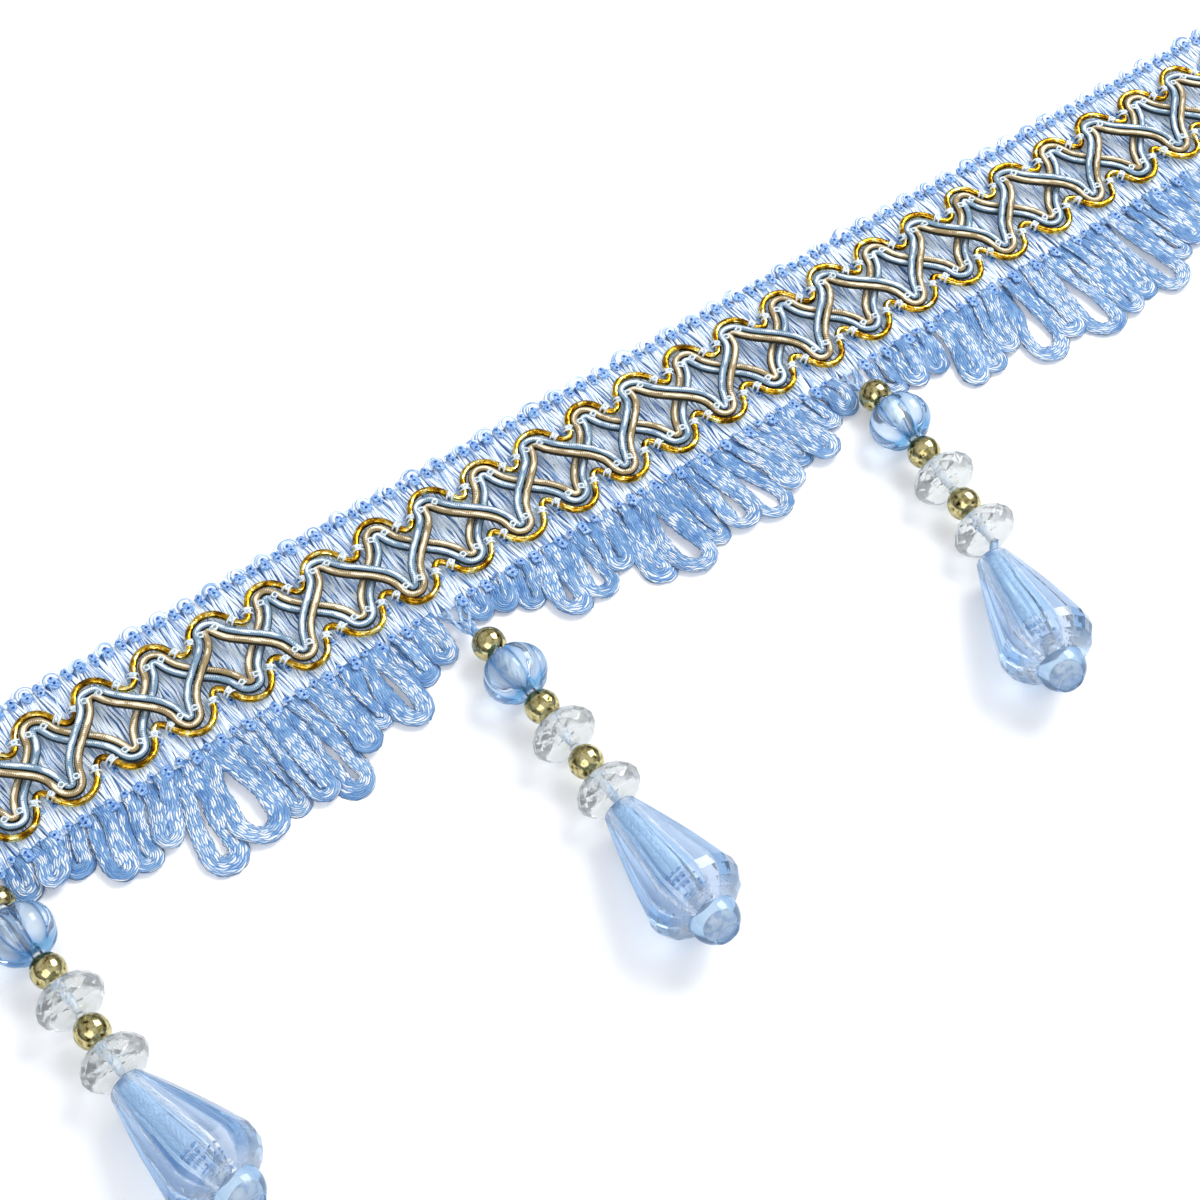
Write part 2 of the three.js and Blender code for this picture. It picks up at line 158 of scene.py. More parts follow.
# One row for each scallop, one column for each loop from left to right:
# reach below the backing, and the width that the loop takes up.
SCALLOPS = (
    ((5.5, 6, 6.5, 11.5, 12, 10.5, 19.5, 18.5, 17.5, 18, 20, 14.5, 11.5, 14.5, 8.5, 7.5),
     (4.5, 4.7, 4.9, 4.7, 4.9, 4.6, 7.1, 9.0, 4.9, 4.5, 6.6, 4.5, 4.7, 6.6, 4.8, 4.8)),
    ((3.5, 4.5, 7, 12, 12, 9, 15, 17.5, 14.5, 15, 16, 12.5, 10, 11, 6, 5.5),
     (4.2, 4.3, 4.6, 6.2, 6.6, 4.4, 5.0, 8.2, 4.6, 6.6, 7.0, 4.5, 4.5, 4.9, 4.5, 4.8)),
    ((7, 7.5, 8, 13.5, 13.5, 11.5, 17.5, 15.5, 19, 18, 16.5, 18.5, 13.5, 12, 9, 6.5),
     (4.6, 4.5, 4.6, 4.7, 4.7, 4.5, 8.6, 4.5, 8.2, 5.0, 4.8, 7.2, 4.9, 4.6, 4.6, 4.5)),
)

# Beads
BORE = 1.0
GOLD_BEAD = 3.0
BEAD_GAP = 0.3
MELON = {"radius": 5.75, "half": 4.55, "lobes": 8, "groove": 0.6, "shoulder": 1.2}
RONDELLE = {"radius": 5.9, "half": 3.1, "facets": 10, "cuts": 12}
DROP = {"mouth": 3.15, "widest": 8.5, "body": 19.8, "shoulder": 23.3, "shoulder_radius": 7.2,
        "neck": 24.8, "knob": 4.3, "length": 30.2, "flutes": 16}
FINE_COLUMNS = 96  # round a lobed bead and a drop
STRING_HEIGHT = RONDELLE["radius"] * math.cos(math.pi / RONDELLE["facets"])
DROP_FLAT = DROP["widest"] * math.cos(math.pi / DROP["flutes"])
DROP_CLIMB = math.asin((DROP_FLAT - STRING_HEIGHT) / DROP["body"])

# Pendant yarn
PLIES = 6
PLY_RADIUS = 0.33
PLY_TURN = 0.58  # radius of the helix that a ply winds in
PLY_LAY = 8  # length of one turn
YARN_HEIGHT = 0.9
YARN_START = BACKING_TOP - BACKING_WIDTH - BEAD_GAP
YARN_ROOT = 2.5  # how far it goes on under the fringe
YARN_END = 18.4  # how deep it ends in the drop
KNOT_DEPTH = 19.4  # middle of the knot in the drop
KNOT_SIZE = (1.45, 1.7, 1.45)  # half of its extent each way
KNOT_RADIUS = 0.4
KNOT_TONES = (0.0, 0.8, 0.1, 0.6)  # one for each loop of the knot; a high tone is painted light, a paler and glowing loop

# One row for each pendant: how far right of its place in the scallops the yarn starts, yarn
# shown above the first bead, turn of the bead string to the right in degrees, yarn shown above
# the drop, how far right of the string its mouth lies, and its turn from the string in degrees.
PENDANTS = (
    (-0.4, 1.7, 0.2, 1.2, -0.5, 8),
    (0.9, 6.9, -1.8, 1.1, -0.6, -1),
    (-0.8, 3.7, -7.2, 3.0, -2.3, -9),
    (0.0, 4.5, 3.0, 1.1, 0.0, -3),
)

# Camera: degrees, a point on the surface, and millimetres
CAMERA_AZIMUTH = 42.0
CAMERA_HEIGHT = 56.0
CAMERA_ROLL = -5.8
CAMERA_TARGET = (-30.3, -26.1)
CAMERA_DISTANCE = 499.9
CAMERA_LENS = 86.45
SENSOR = 36.0

# Lights: name, place and size in metres, watts, tint
LIGHTS = (
    ("key", (0.75, 0.15, 0.9), 0.7, 11.5, (1.0, 0.99, 0.97)),
    ("fill", (-0.7, -0.5, 0.8), 0.8, 3.5, (0.95, 0.97, 1.0)),
)
STUDIO_LOW = (0.05, "#687078")  # the studio's shade low down, by height from 0 to 1
STUDIO_HIGH = (0.7, "#FBFBFC")
STUDIO_SEEN = "#F2F6FF"  # what the camera sees of it
STUDIO_STRENGTH = 0.75
FLOOR_HALF = 3.0  # metres


# Shapes

def wander(at, spacing, size, seed):
    """Smooth unevenness: seeded random heights every `spacing`, joined by half cosines. They
    come round again after a few thousand."""
    count = 4096
    heights = np.random.default_rng(seed).uniform(-size, size, count)
    at = np.asarray(at, float) / spacing
    cell = np.floor(at).astype(int)
    share = 0.5 - 0.5 * np.cos(np.pi * (at - cell))
    return heights[cell % count] * (1 - share) + heights[(cell + 1) % count] * share


def xyz(x, y, z):
    """Points from their coordinates, each broadcast against the others."""
    return np.stack(np.broadcast_arrays(x, y, z), -1)


def unit(vectors):
    """Each vector over its length."""
    return vectors / np.linalg.norm(vectors, axis=-1, keepdims=True)


def full_turn(columns):
    """Even angles round a full turn."""
    return 2 * np.pi * np.arange(columns) / columns


def swung(x, y, angle):
    """Two coordinates turned by an angle."""
    return x * np.cos(angle) - y * np.sin(angle), x * np.sin(angle) + y * np.cos(angle)


def distances(path):
    """Each point's distance along a path."""
    return np.concatenate([[0], np.linalg.norm(np.diff(path, axis=0), axis=1).cumsum()])


def evenly(path, step):
    """The same path with points about `step` apart, the last one kept, and their distances."""
    run = distances(path)
    at = np.linspace(0, run[-1], max(int(run[-1] / step), 4))
    return np.stack([np.interp(at, run, path[:, axis]) for axis in range(3)], axis=1), at


def oval(columns, half_width, half_height, power=1.0):
    """A closed section: cosine across and sine up, each raised to a power. Under 1 the section
    is fuller, and over 1 it is leaner."""
    angle = full_turn(columns)
    across, up = np.cos(angle), np.sin(angle)
    return np.stack([half_width * np.sign(across) * np.abs(across) ** power,
                     half_height * np.sign(up) * np.abs(up) ** power], axis=-1)


def carried(path, section, turn=0.0):
    """A section carried along paths: across is level and square to the path, up is square to
    both, and the section is turned about the path by `turn`."""
    along = unit(np.gradient(path, axis=-2))
    across = unit(np.cross((0.0, 0.0, 1.0), along))
    up = np.cross(along, across)
    side, rise = swung(section[..., 0], section[..., 1], np.asarray(turn)[..., None])
    aside = side[..., None] * across[..., None, :]
    return path[..., None, :] + aside + rise[..., None] * up[..., None, :]


def cord_of(paths, radius, columns=6):
    """Round cords carried along paths."""
    return carried(paths, oval(columns, radius, radius))


def about_y(radius, place, turn):
    """Points about the Y axis at a radius, a place along it and an angle."""
    return xyz(radius * np.cos(turn), place, radius * np.sin(turn))


def revolved(profile, columns):
    """A profile of (radius, place) turned about the Y axis."""
    return about_y(profile[:, :1], profile[:, 1:], full_turn(columns))


def tilted(points, climb=0.0, turn=0.0, at=(0, 0, 0)):
    """Points raised about X by `climb`, turned about Z by `turn` and moved to their place."""
    lift = np.array(Matrix.Rotation(-climb, 3, "X"))
    spin = np.array(Matrix.Rotation(turn, 3, "Z"))
    return points @ lift.T @ spin.T + np.asarray(at)


def above(points, least):
    """The same points, none lower than `least`: what would sink into the surface lies flat."""
    points[..., 2] = np.maximum(points[..., 2], least)
    return points


def skins(points, tone=0.5, finish=0, ring=False, facets=False):
    """Closed skins over grids of points, one for each first index: rings along a path, and
    columns round a section that closes on itself. A path that isn't a ring gets a fan of
    triangles over each end. UV: 0 to 1 round the section, and millimetres along the path. The
    tone is one number, one for each skin, or a grid for the points of a single skin. With
    `facets` each four-sided face is cut into two triangles."""
    points = points[None] if points.ndim == 3 else points
    count, rows, columns = points.shape[:3]
    index = np.arange(count * rows * columns).reshape(count, rows, columns)
    middles = points.mean(axis=2)
    steps = np.linalg.norm(np.roll(middles, -1, axis=1) - middles, axis=2)
    if ring:
        steps = np.linalg.norm(np.roll(points, -1, axis=1) - points, axis=3).mean(axis=2)
    run = np.concatenate([np.zeros((count, 1)), steps.cumsum(axis=1)], axis=1)
    here, ahead = (index, np.roll(index, -1, axis=1)) if ring else (index[:, :-1], index[:, 1:])
    quads = np.stack([here, np.roll(here, -1, 2), np.roll(ahead, -1, 2), ahead], axis=-1)
    around = np.broadcast_to(np.arange(columns) / columns, here.shape)
    after = around + 1 / columns
    low = np.broadcast_to(run[:, :here.shape[1], None], here.shape)
    high = np.broadcast_to(run[:, 1:here.shape[1] + 1, None], here.shape)
    uv = np.stack([np.stack(pair, axis=-1) for pair in
                   ((around, low), (after, low), (after, high), (around, high))], axis=-2)
    quads, uv = quads.reshape(-1, 4), uv.reshape(-1, 4, 2)
    tone = np.asarray(tone, float)
    tone = tone if tone.ndim == 2 else tone.reshape(-1, 1, 1)
    tone = np.broadcast_to(tone, index.shape)
    tones = [tone.ravel()]
    triangles = np.zeros((0, 3), int)
    flat = points.reshape(-1, 3)
    if not ring:
        first = len(flat) + np.arange(count)[:, None]
        last = first + count
        flat = np.concatenate([flat, points[:, 0].mean(axis=1), points[:, -1].mean(axis=1)])
        tones += [tone[:, 0].mean(axis=1), tone[:, -1].mean(axis=1)]
        foot, head = index[:, 0], index[:, -1]
        triangles = np.concatenate([
            np.stack([np.broadcast_to(first, foot.shape), np.roll(foot, -1, 1), foot], -1),
            np.stack([np.broadcast_to(last, head.shape), head, np.roll(head, -1, 1)], -1),
        ]).reshape(-1, 3)
    triangle_uv = np.zeros((len(triangles), 3, 2))
    if facets:
        halves = [0, 1, 3], [1, 2, 3]
        triangles = np.concatenate([triangles] + [quads[:, half] for half in halves])
        triangle_uv = np.concatenate([triangle_uv] + [uv[:, half] for half in halves])
        quads, uv = quads[:0], uv[:0]
    corners = np.concatenate([quads[:, [0, 1, 2]], quads[:, [0, 2, 3]], triangles])
    a, b, c = flat[corners[:, 0]], flat[corners[:, 1]], flat[corners[:, 2]]
    if (a * np.cross(b, c)).sum() < 0:
        quads, uv = quads[:, ::-1], uv[:, ::-1]
        triangles, triangle_uv = triangles[:, ::-1], triangle_uv[:, ::-1]
    return {"points": flat, "quads": quads, "uv": uv, "triangles": triangles,
            "triangle_uv": triangle_uv, "tone": np.concatenate(tones), "finish": finish}


def add_object(name, data):
    """An object with its data, linked to the scene."""
    made = bpy.data.objects.new(name, data)
    bpy.context.scene.collection.objects.link(made)
    return made


def add_piece(name, finishes, parts, replaced=(), sharp=None):
    """Joins skins into one mesh with its UV map `thread` and its attribute `tone`, in metres in
    the row frame. Edges that turn more than `sharp` degrees stay sharp."""
    def joined(key):
        return np.concatenate([part[key] for part in parts])

    def numbered(key):
        return np.concatenate([part[key] + start for part, start in zip(parts, starts)])

    starts = np.cumsum([0] + [len(part["points"]) for part in parts])
    quads, triangles = numbered("quads"), numbered("triangles")
    corners = np.concatenate([quads.ravel(), triangles.ravel()])
    sizes = np.repeat((4, 3), (len(quads), len(triangles)))
    uv = np.concatenate([joined("uv").ravel(), joined("triangle_uv").ravel()])
    painted = np.concatenate([np.full(len(part[key]), part["finish"])
                              for key in ("quads", "triangles") for part in parts])
    points = (joined("points") + (ORIGIN_X, ORIGIN_Y, 0)) * MM
    mesh = bpy.data.meshes.new(name)
    mesh.vertices.add(len(points))
    mesh.vertices.foreach_set("co", points.ravel())
    mesh.loops.add(len(corners))
    mesh.loops.foreach_set("vertex_index", corners.astype(np.int32))
    mesh.polygons.add(len(sizes))
    mesh.polygons.foreach_set("loop_start", (np.cumsum(sizes) - sizes).astype(np.int32))
    mesh.polygons.foreach_set("material_index", painted.astype(np.int32))
    mesh.polygons.foreach_set("use_smooth", np.ones(len(sizes), bool))
    mesh.uv_layers.new(name="thread").data.foreach_set("uv", uv)
    mesh.attributes.new("tone", "FLOAT", "POINT").data.foreach_set("value", joined("tone"))
    mesh.update(calc_edges=True)
    if sharp is not None:
        mesh.set_sharp_from_angle(angle=math.radians(sharp))
    for finish in finishes:
        mesh.materials.append(finish)
    piece = add_object(name, mesh)
    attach(piece, "root")
    if replaced:
        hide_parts(*replaced)
    return piece


# Materials

def paint(code):
    """A colour written as #RRGGBB, as the linear values that a shader takes."""
    values = (int(code[i:i + 2], 16) / 255 for i in (1, 3, 5))
    linear = [v / 12.92 if v <= 0.04045 else ((v + 0.055) / 1.055) ** 2.4 for v in values]
    return (*linear, 1.0)


def set_ramp(ramp, stops):
    """Colours between their places: each stop is (place, #RRGGBB)."""
    while len(ramp.elements) < len(stops):
        ramp.elements.new(0.5)
    for element, (place, code) in zip(ramp.elements, stops):
        element.position = place
        element.color = paint(code)


class Finish:
    """A material: constants go on its shader's own sockets, patterns are nodes linked to it."""

    def __init__(self, name, **constants):
        self.material = bpy.data.materials.new(name)
        self.material.use_nodes = True
        self.tree = self.material.node_tree
        self.shader = self.tree.nodes["Principled BSDF"]
        for socket, value in constants.items():
            self.shader.inputs[socket.replace("_", " ")].default_value = value

    def node(self, kind, inputs=None, **settings):
        made = self.tree.nodes.new("ShaderNode" + kind)
        for key, value in settings.items():
            setattr(made, key, value)
        for key, value in (inputs or {}).items():
            self.give(made.inputs[key], value)
        return made

    def give(self, socket, value):
        if isinstance(value, bpy.types.NodeSocket):
            self.tree.links.new(value, socket)
        else:
            socket.default_value = value

    def math(self, operation, first, second=0.0, third=0.0):
        made = self.node("Math", {0: first, 1: second, 2: third}, operation=operation)
        return made.outputs[0]

    def times(self, first, second, plus=0.0):
        """The first times the second, plus the third."""
        return self.math("MULTIPLY_ADD", first, second, plus)

    def thread(self):
        """Round the section and along the thread in millimetres, as two sockets."""
        uv = self.node("UVMap", uv_map="thread").outputs["UV"]
        split = self.node("SeparateXYZ", {0: uv})
        return split.outputs["X"], split.outputs["Y"]

    def tone(self):
        return self.node("Attribute", attribute_name="tone").outputs["Fac"]

    def place(self):
        return self.node("TexCoord").outputs["Object"]

    def crown(self):
        """1 along the top of a thread and -1 along its foot: the sine round its section."""
        return self.math("SINE", self.times(self.thread()[0], 2 * math.pi))

    def noise(self, scale, detail=2.0):
        """Noise all over a piece: `scale` is cells for each metre."""
        made = self.node("TexNoise", {"Vector": self.place(), "Scale": scale, "Detail": detail})
        return made.outputs["Fac"]

    def streaks(self, across, along, seed=0.0, detail=2.0):
        """Noise drawn out along the thread: `across` is cells round the section, `along` is
        cells for each millimetre, and every tone has noise of its own."""
        u, v = self.thread()
        at = self.node("CombineXYZ", {0: self.times(u, across), 1: self.times(v, along),
                                      2: self.times(self.tone(), 37.0, seed)})
        noise = self.node("TexNoise", {"Vector": at.outputs[0], "Scale": 1.0, "Detail": detail,
                                       "Roughness": 0.6})
        return noise.outputs["Fac"]

    def dashes(self, wales, length):
        """Knitted dashes in rows along the thread: `wales` rows round the section, which wander
        aside by up to two rows. The dashes are `length` millimetres long and slant one way and
        the other in turn. Returns how bright each dash is, at random, and its domed height,
        both from 0 to 1."""
        u, v = self.thread()
        across = self.times(u, wales, self.times(self.streaks(2, 0.4), 2.0))
        wale = self.math("FLOOR", across)
        share = self.math("FRACT", across)
        way = self.math("SUBTRACT", self.math("PINGPONG", wale, 1.0), 0.5)
        start = self.node("TexWhiteNoise", {"W": wale}, noise_dimensions="1D").outputs["Value"]
        run = self.times(v, 1 / length, self.times(share, way))
        run = self.math("ADD", run, self.times(self.tone(), 11.0, start))
        cell = self.node("CombineXYZ", {0: wale, 1: self.math("FLOOR", run), 2: self.tone()})
        bright = self.node("TexWhiteNoise", {"Vector": cell.outputs[0]}).outputs["Value"]
        rows, stitches = (self.math("SINE", self.times(part, math.pi))
                          for part in (share, self.math("FRACT", run)))
        return bright, self.math("POWER", self.times(rows, stitches), 0.8)

    def spread(self, value, low, high, first=0.0, last=1.0):
        """A value from low to high spread over first to last, and kept between them."""
        return self.node("MapRange", {0: value, 1: low, 2: high, 3: first, 4: last}).outputs[0]

    def color(self, value, *stops):
        """Base colour from a value, by colours at their places."""
        made = self.node("ValToRGB", {0: value})
        set_ramp(made.color_ramp, stops)
        self.give(self.shader.inputs["Base Color"], made.outputs["Color"])

    def relief(self, height, depth):
        """Bump of a height from 0 to 1, `depth` millimetres deep."""
        bump = self.node("Bump", {"Height": height, "Distance": depth * MM, "Strength": 1.0})
        self.give(self.shader.inputs["Normal"], bump.outputs["Normal"])

    def satin(self):
        """Highlights drawn out across the thread, as over parallel filaments."""
        tangent = self.node("Tangent", direction_type="UV_MAP", uv_map="thread")
        self.give(self.shader.inputs["Tangent"], tangent.outputs["Tangent"])


def satin_weft():
    """Flat filaments, blue between them, with painted highlights: white streaks in the colour where
    satin would catch the light, and the top of each yarn painted a little lighter. A weak glow is
    painted light that lifts the weft where the braid shades it."""
    # painted light: the emission is a glow on the weft, not a lamp
    made = Finish("satin_weft", Roughness=0.34, Anisotropic=0.6, Specular_IOR_Level=0.7,
                  Emission_Color=paint("#D0E6FC"), Emission_Strength=0.15)
    streak = made.streaks(12, 0.3)
    value = made.math("ADD", streak, made.times(made.tone(), 0.3, -0.22))
    # painted light: the crown term makes the top of each yarn lighter, and the white stop is a
    # painted satin highlight
    made.color(made.times(made.crown(), 0.12, value),
               (0.31, "#3468B4"), (0.42, "#86B2E2"), (0.51, "#F0F8FF"))
    made.relief(streak, 0.1)
    made.satin()
    return made.material


def knitted_ground():
    """Plain blue knitting under the weft: small stitches in rows."""
    made = Finish("knitted_ground", Roughness=0.75, Sheen_Weight=0.2)
    waves = made.node("TexWave", {"Vector": made.place(), "Scale": 380.0, "Distortion": 2.0,
                                  "Detail": 1.0}, bands_direction="X").outputs["Fac"]
    made.color(waves, (0.2, "#4E84C4"), (0.8, "#98BEE8"))
    made.relief(waves, 0.25)
    return made.material


def stitch_thread():
    """Thread of the chain stitches, drawn in to a mottled blue and white patch."""
    made = Finish("stitch_thread", Roughness=0.5, Sheen_Weight=0.2)
    fleck = made.noise(2400.0)
    made.color(fleck, (0.36, "#4A80C8"), (0.5, "#76A4DC"), (0.66, "#B2CEEE"))
    made.relief(fleck, 0.2)
    return made.material


def painted_eye_shade(name, cells, dark, light):
    """Painted shade: a dark spot between turns of thread, in the hole where the needle went through.
    """
    made = Finish(name, Roughness=0.8)
    made.color(made.noise(cells), (0.35, dark), (0.7, light))
    return made.material


def binding_thread():
    """Pale thin thread that ties the braid and the gold cords down."""
    made = Finish("binding_thread", Roughness=0.5, Sheen_Weight=0.2)
    streak = made.streaks(5, 1.6)
    made.color(streak, (0.34, "#8FB2CC"), (0.52, "#EEF6FD"))
    made.relief(streak, 0.08)
    return made.material


def gimp(name, dark, mid, light):
    """A core wound closely with fine thread: painted shade dark down its sides, a thin painted
    highlight along its crown, slanting turns and streaks along the cord."""
    made = Finish(name, Roughness=0.45, Anisotropic=0.3, Specular_IOR_Level=0.25)
    u, v = made.thread()
    turn = made.times(v, 2.6, made.times(u, 2.0))
    winding = made.times(made.math("PINGPONG", turn, 0.5), 2.0)
    streak = made.streaks(6, 0.35)
    # painted light: the sine round the section makes the sides dark and the crown light
    value = made.times(streak, 0.5, made.math("SUBTRACT", made.crown(), 0.28))
    made.color(made.times(winding, 0.06, value),
               (0.5, dark), (0.7, mid), (0.945, mid), (0.985, light))
    made.relief(winding, 0.08)
    made.satin()
    return made.material


def gold_film():
    """Bright gold film wound round a cord, in long creased flats, with painted reflections: dark
    brown and pale yellow streaks in its colour stand for dark reflections and highlights.
    """
    made = Finish("gold_film", Metallic=1.0, Roughness=0.2)
    streak = made.streaks(3.5, 0.55, detail=3.0)
    # painted reflection: dark brown streaks for dark reflections, pale yellow for highlights
    made.color(streak, (0.38, "#64440C"), (0.46, "#B4841C"), (0.55, "#DEB034"), (0.6, "#FFF1A4"))
    made.relief(streak, 0.2)
    return made.material


def knitted_ribbon():
    """Knitted ribbon over medium blue with painted satin glints: rows of short white dashes,
    lightest on the domed middle of each stitch, dense in some stretches and sparse in others, and
    denser the further they are from the heading. The hollows between stitches are painted darker, as
    painted shade."""
    made = Finish("knitted_ribbon", Roughness=0.4, Anisotropic=0.5, Specular_IOR_Level=0.5)
    bright, dome = made.dashes(RIBBON_WALES, RIBBON_STITCH)
    across_trim = made.node("SeparateXYZ", {0: made.place()}).outputs["Y"]
    foot = (BACKING_TOP - BACKING_WIDTH + ORIGIN_Y) * MM
    longest_reach = 16 * MM
    reach = made.spread(across_trim, foot, foot - longest_reach, 0.0, 0.25)
    dense = made.spread(made.streaks(1.6, 0.16, seed=5.0, detail=1.0), 0.36, 0.62, 0.04, 0.8)
    lit = made.math("SUBTRACT", made.math("ADD", dense, reach), bright)
    # painted highlight: the dashes fade out away from the domed middle of each stitch
    lit = made.times(made.spread(lit, -0.12, 0.12), made.spread(dome, 0.15, 0.6))
    lit = made.times(lit, made.times(bright, -0.4, 0.56))
    value = made.times(made.streaks(9, 0.5, seed=2.0), 0.6, lit)
    # painted light and shade: the dome term makes the middle of each stitch lighter and its hollows
    # darker
    made.color(made.times(dome, 0.08, value), (0.2, "#4478BC"), (0.36, "#6E9CD0"),
               (0.5, "#8CB2DE"), (0.66, "#C4DAF2"), (0.8, "#F4F9FF"))
    made.relief(dome, 0.16)
    made.satin()
    return made.material


def pendant_yarn():
    """Soft doubled yarn between the beads. Where its tone is high, its colour is paler and it glows
    a little: painted light for the light that clear beads gather on it."""
    made = Finish("pendant_yarn", Roughness=0.45, Sheen_Weight=0.3, Emission_Color=paint("#E4F0FC"))
    # painted light: a high tone makes the yarn glow and makes its colour paler
    made.give(made.shader.inputs["Emission Strength"], made.times(made.tone(), 0.2))
    streak = made.streaks(5, 0.8)
    made.color(made.times(made.tone(), 0.35, streak),
               (0.32, "#5084C4"), (0.5, "#8EB6E0"), (0.64, "#DCEAFA"), (0.8, "#FFFFFF"))
    made.relief(streak, 0.1)
    return made.material


def plated_bead():
    """Pale gold plating with pits and small dark spots."""
    made = Finish("plated_bead", Metallic=1.0, Roughness=0.1)
    pits = made.noise(1100.0, 3.0)
    made.color(pits, (0.34, "#2A210C"), (0.39, "#9A8C56"), (0.6, "#D2C896"))
    made.relief(made.times(made.noise(330.0, 1.0), 0.1, pits), 0.06)
    return made.material


def clear_acrylic(name, thin, deep, murk, clear, cells=260.0, lines=False):
    """Moulded acrylic, a share of it `clear`: pale where it is looked through square on, and deeper
    towards the edges and in the grooves, which is painted shade for the darker surroundings that the
    glass bends in there. Its surface has faint waves, or `lines` along it."""
    made = Finish(name, Roughness=murk, IOR=1.49, Transmission_Weight=clear)
    # painted shade: the colour deepens towards the edges as they turn from the camera
    edge = made.node("LayerWeight", {"Blend": 0.3}).outputs["Facing"]
    made.color(made.math("ADD", edge, made.tone()), (0.1, thin), (0.7, deep))
    made.relief(made.streaks(60, 0.08, detail=1.0) if lines else made.noise(cells, 1.0), 0.08)
    return made.material


def cloudy_core():
    """Cloudy white in the middle of a knob."""
    made = Finish("cloudy_core", Roughness=0.5)
    made.color(made.noise(900.0), (0.38, "#C0CCEA"), (0.52, "#FFF8FC"))
    return made.material


# Heading

def ground():
    """A thin flat slab the size of the heading: one section carried along the trim."""
    path = np.zeros((110, 3))
    path[:, 0] = np.linspace(-HALF_LENGTH, HALF_LENGTH, len(path))
    path[:, 1] = (HEADING_TOP + HEADING_FOOT) / 2
    path[:, 2] = GROUND_THICK / 2 + SURFACE_GAP
    section = oval(24, (HEADING_TOP - HEADING_FOOT) / 2, GROUND_THICK / 2, GROUND_POWER)
    return [skins(carried(path, section))]


def inside(x, margin=1.5):
    """The places that are at least `margin` from the trim's ends."""
    return x[np.abs(x) < HALF_LENGTH - margin]


def stitch_columns():
    """Middles of the chain stitches along the trim."""
    return -HALF_LENGTH + STITCH_PITCH * (np.arange(int(2 * HALF_LENGTH / STITCH_PITCH)) + 0.5)


def weft():
    """Satin yarns laid across the heading in passes, one for each stitch. A pass zigzags a
    little, its neighbours the other way. Its yarns are drawn together at the rows of stitches
    with the exponential of the square of the distance, and lie lower there, and every yarn
    wanders a little on its own."""
    rng = np.random.default_rng(11)
    start = stitch_columns()
    share = np.linspace(0, 1, 19)
    y = WEFT_TOP + (WEFT_FOOT - WEFT_TOP) * share
    rows = (*WEFT_ROWS, WEFT_TOP, WEFT_FOOT)
    drawn = sum(np.exp(-((y - row) / ROW_PULL) ** 2) for row in rows)
    spread = WEFT_SPREAD - WEFT_DRAWN * drawn
    zigzag = np.abs((share * WEFT_TURNS) % 2 - 1) - 0.5
    shift = (-1.0) ** np.arange(len(start))[:, None] * zigzag * WEFT_LEAN
    lane = (np.arange(WEFT_ENDS) - (WEFT_ENDS - 1) / 2) * STITCH_PITCH / WEFT_ENDS
    x = start[:, None, None] + shift[:, None, :] + lane[None, :, None] * spread
    yarn = np.arange(x.shape[0] * x.shape[1]).reshape(*x.shape[:2], 1)
    x = x + wander(y + 83.0 * yarn, 3.1, 0.2, 12) + rng.uniform(-0.1, 0.1, yarn.shape)
    high = HEADING_THICK - WEFT_THICK / 2
    low = GROUND_THICK + WEFT_THICK / 2 - 0.1
    level = 0.5 + wander(y + 61.0 * yarn, 5.3, 0.5, 13)
    z = low + (high - low) * level * (1 - 0.5 * np.minimum(drawn, 1))
    x = np.clip(x, -HALF_LENGTH + 0.2, HALF_LENGTH - 0.2)
    path = xyz(x, y, z).reshape(-1, len(y), 3)
    section = oval(5, WEFT_WIDTH / 2, WEFT_THICK / 2)
    return [skins(carried(path, section), tone=rng.uniform(0, 1, len(path)))]


def domes(centres, polar, radius, rise):
    """Flattened domes, one at each centre: rings of points at polar angles. `radius` has a
    value for each point of a ring, and the height falls off with the cosine."""
    turn = full_turn(radius.shape[-1])
    out = radius * np.sin(polar)[:, None]
    dome = xyz(out * np.cos(turn), out * np.sin(turn), rise * np.cos(polar)[:, None])
    return dome + centres[:, None, None, :]


def dots(centres, radius, rise):
    """Small flattened balls, one at each centre."""
    return domes(centres, np.linspace(0.25, np.pi - 0.25, 4), np.full(6, radius), rise)


def pads(centres, radius, seed):
    """Low mounds of thread drawn in to the eye of a stitch: the radius of each is uneven round
    it."""
    rng = np.random.default_rng(seed)
    uneven = radius * (1 + rng.uniform(-0.28, 0.28, (len(centres), 1, 10)))
    return domes(centres, np.linspace(0.22, np.pi / 2 + 0.25, 5), uneven, MOUND_RISE)


def chain_stitches(x, y, radius, seed, z=STITCH_HEIGHT, gap=STITCH_GAP, pair=(-1, 1)):
    """A chain stitch at each x: two low mounds one above the other, each with a dark eye of painted
    shade. With a pair of one it is a single mound."""
    rng = np.random.default_rng(seed)
    count = len(x)
    parts = []
    for side in pair:
        centres = xyz(x + rng.uniform(-0.12, 0.12, count),
                      y + side * gap / 2 + rng.uniform(-0.1, 0.1, count), z)
        parts.append(skins(pads(centres, radius, seed + side), tone=rng.uniform(0, 1, count)))
        parts.append(skins(dots(centres + (0, 0, EYE_LIFT), EYE_RADIUS, EYE_RISE), finish=1))
    return parts


def gold_dips():
    """Where a gold cord dips between two arches of the braid."""
    count = int(HALF_LENGTH / HALF_REPEAT) + 1
    return inside(ARCH_Q + HALF_REPEAT * (np.arange(-2 * count, 2 * count) + 0.5))


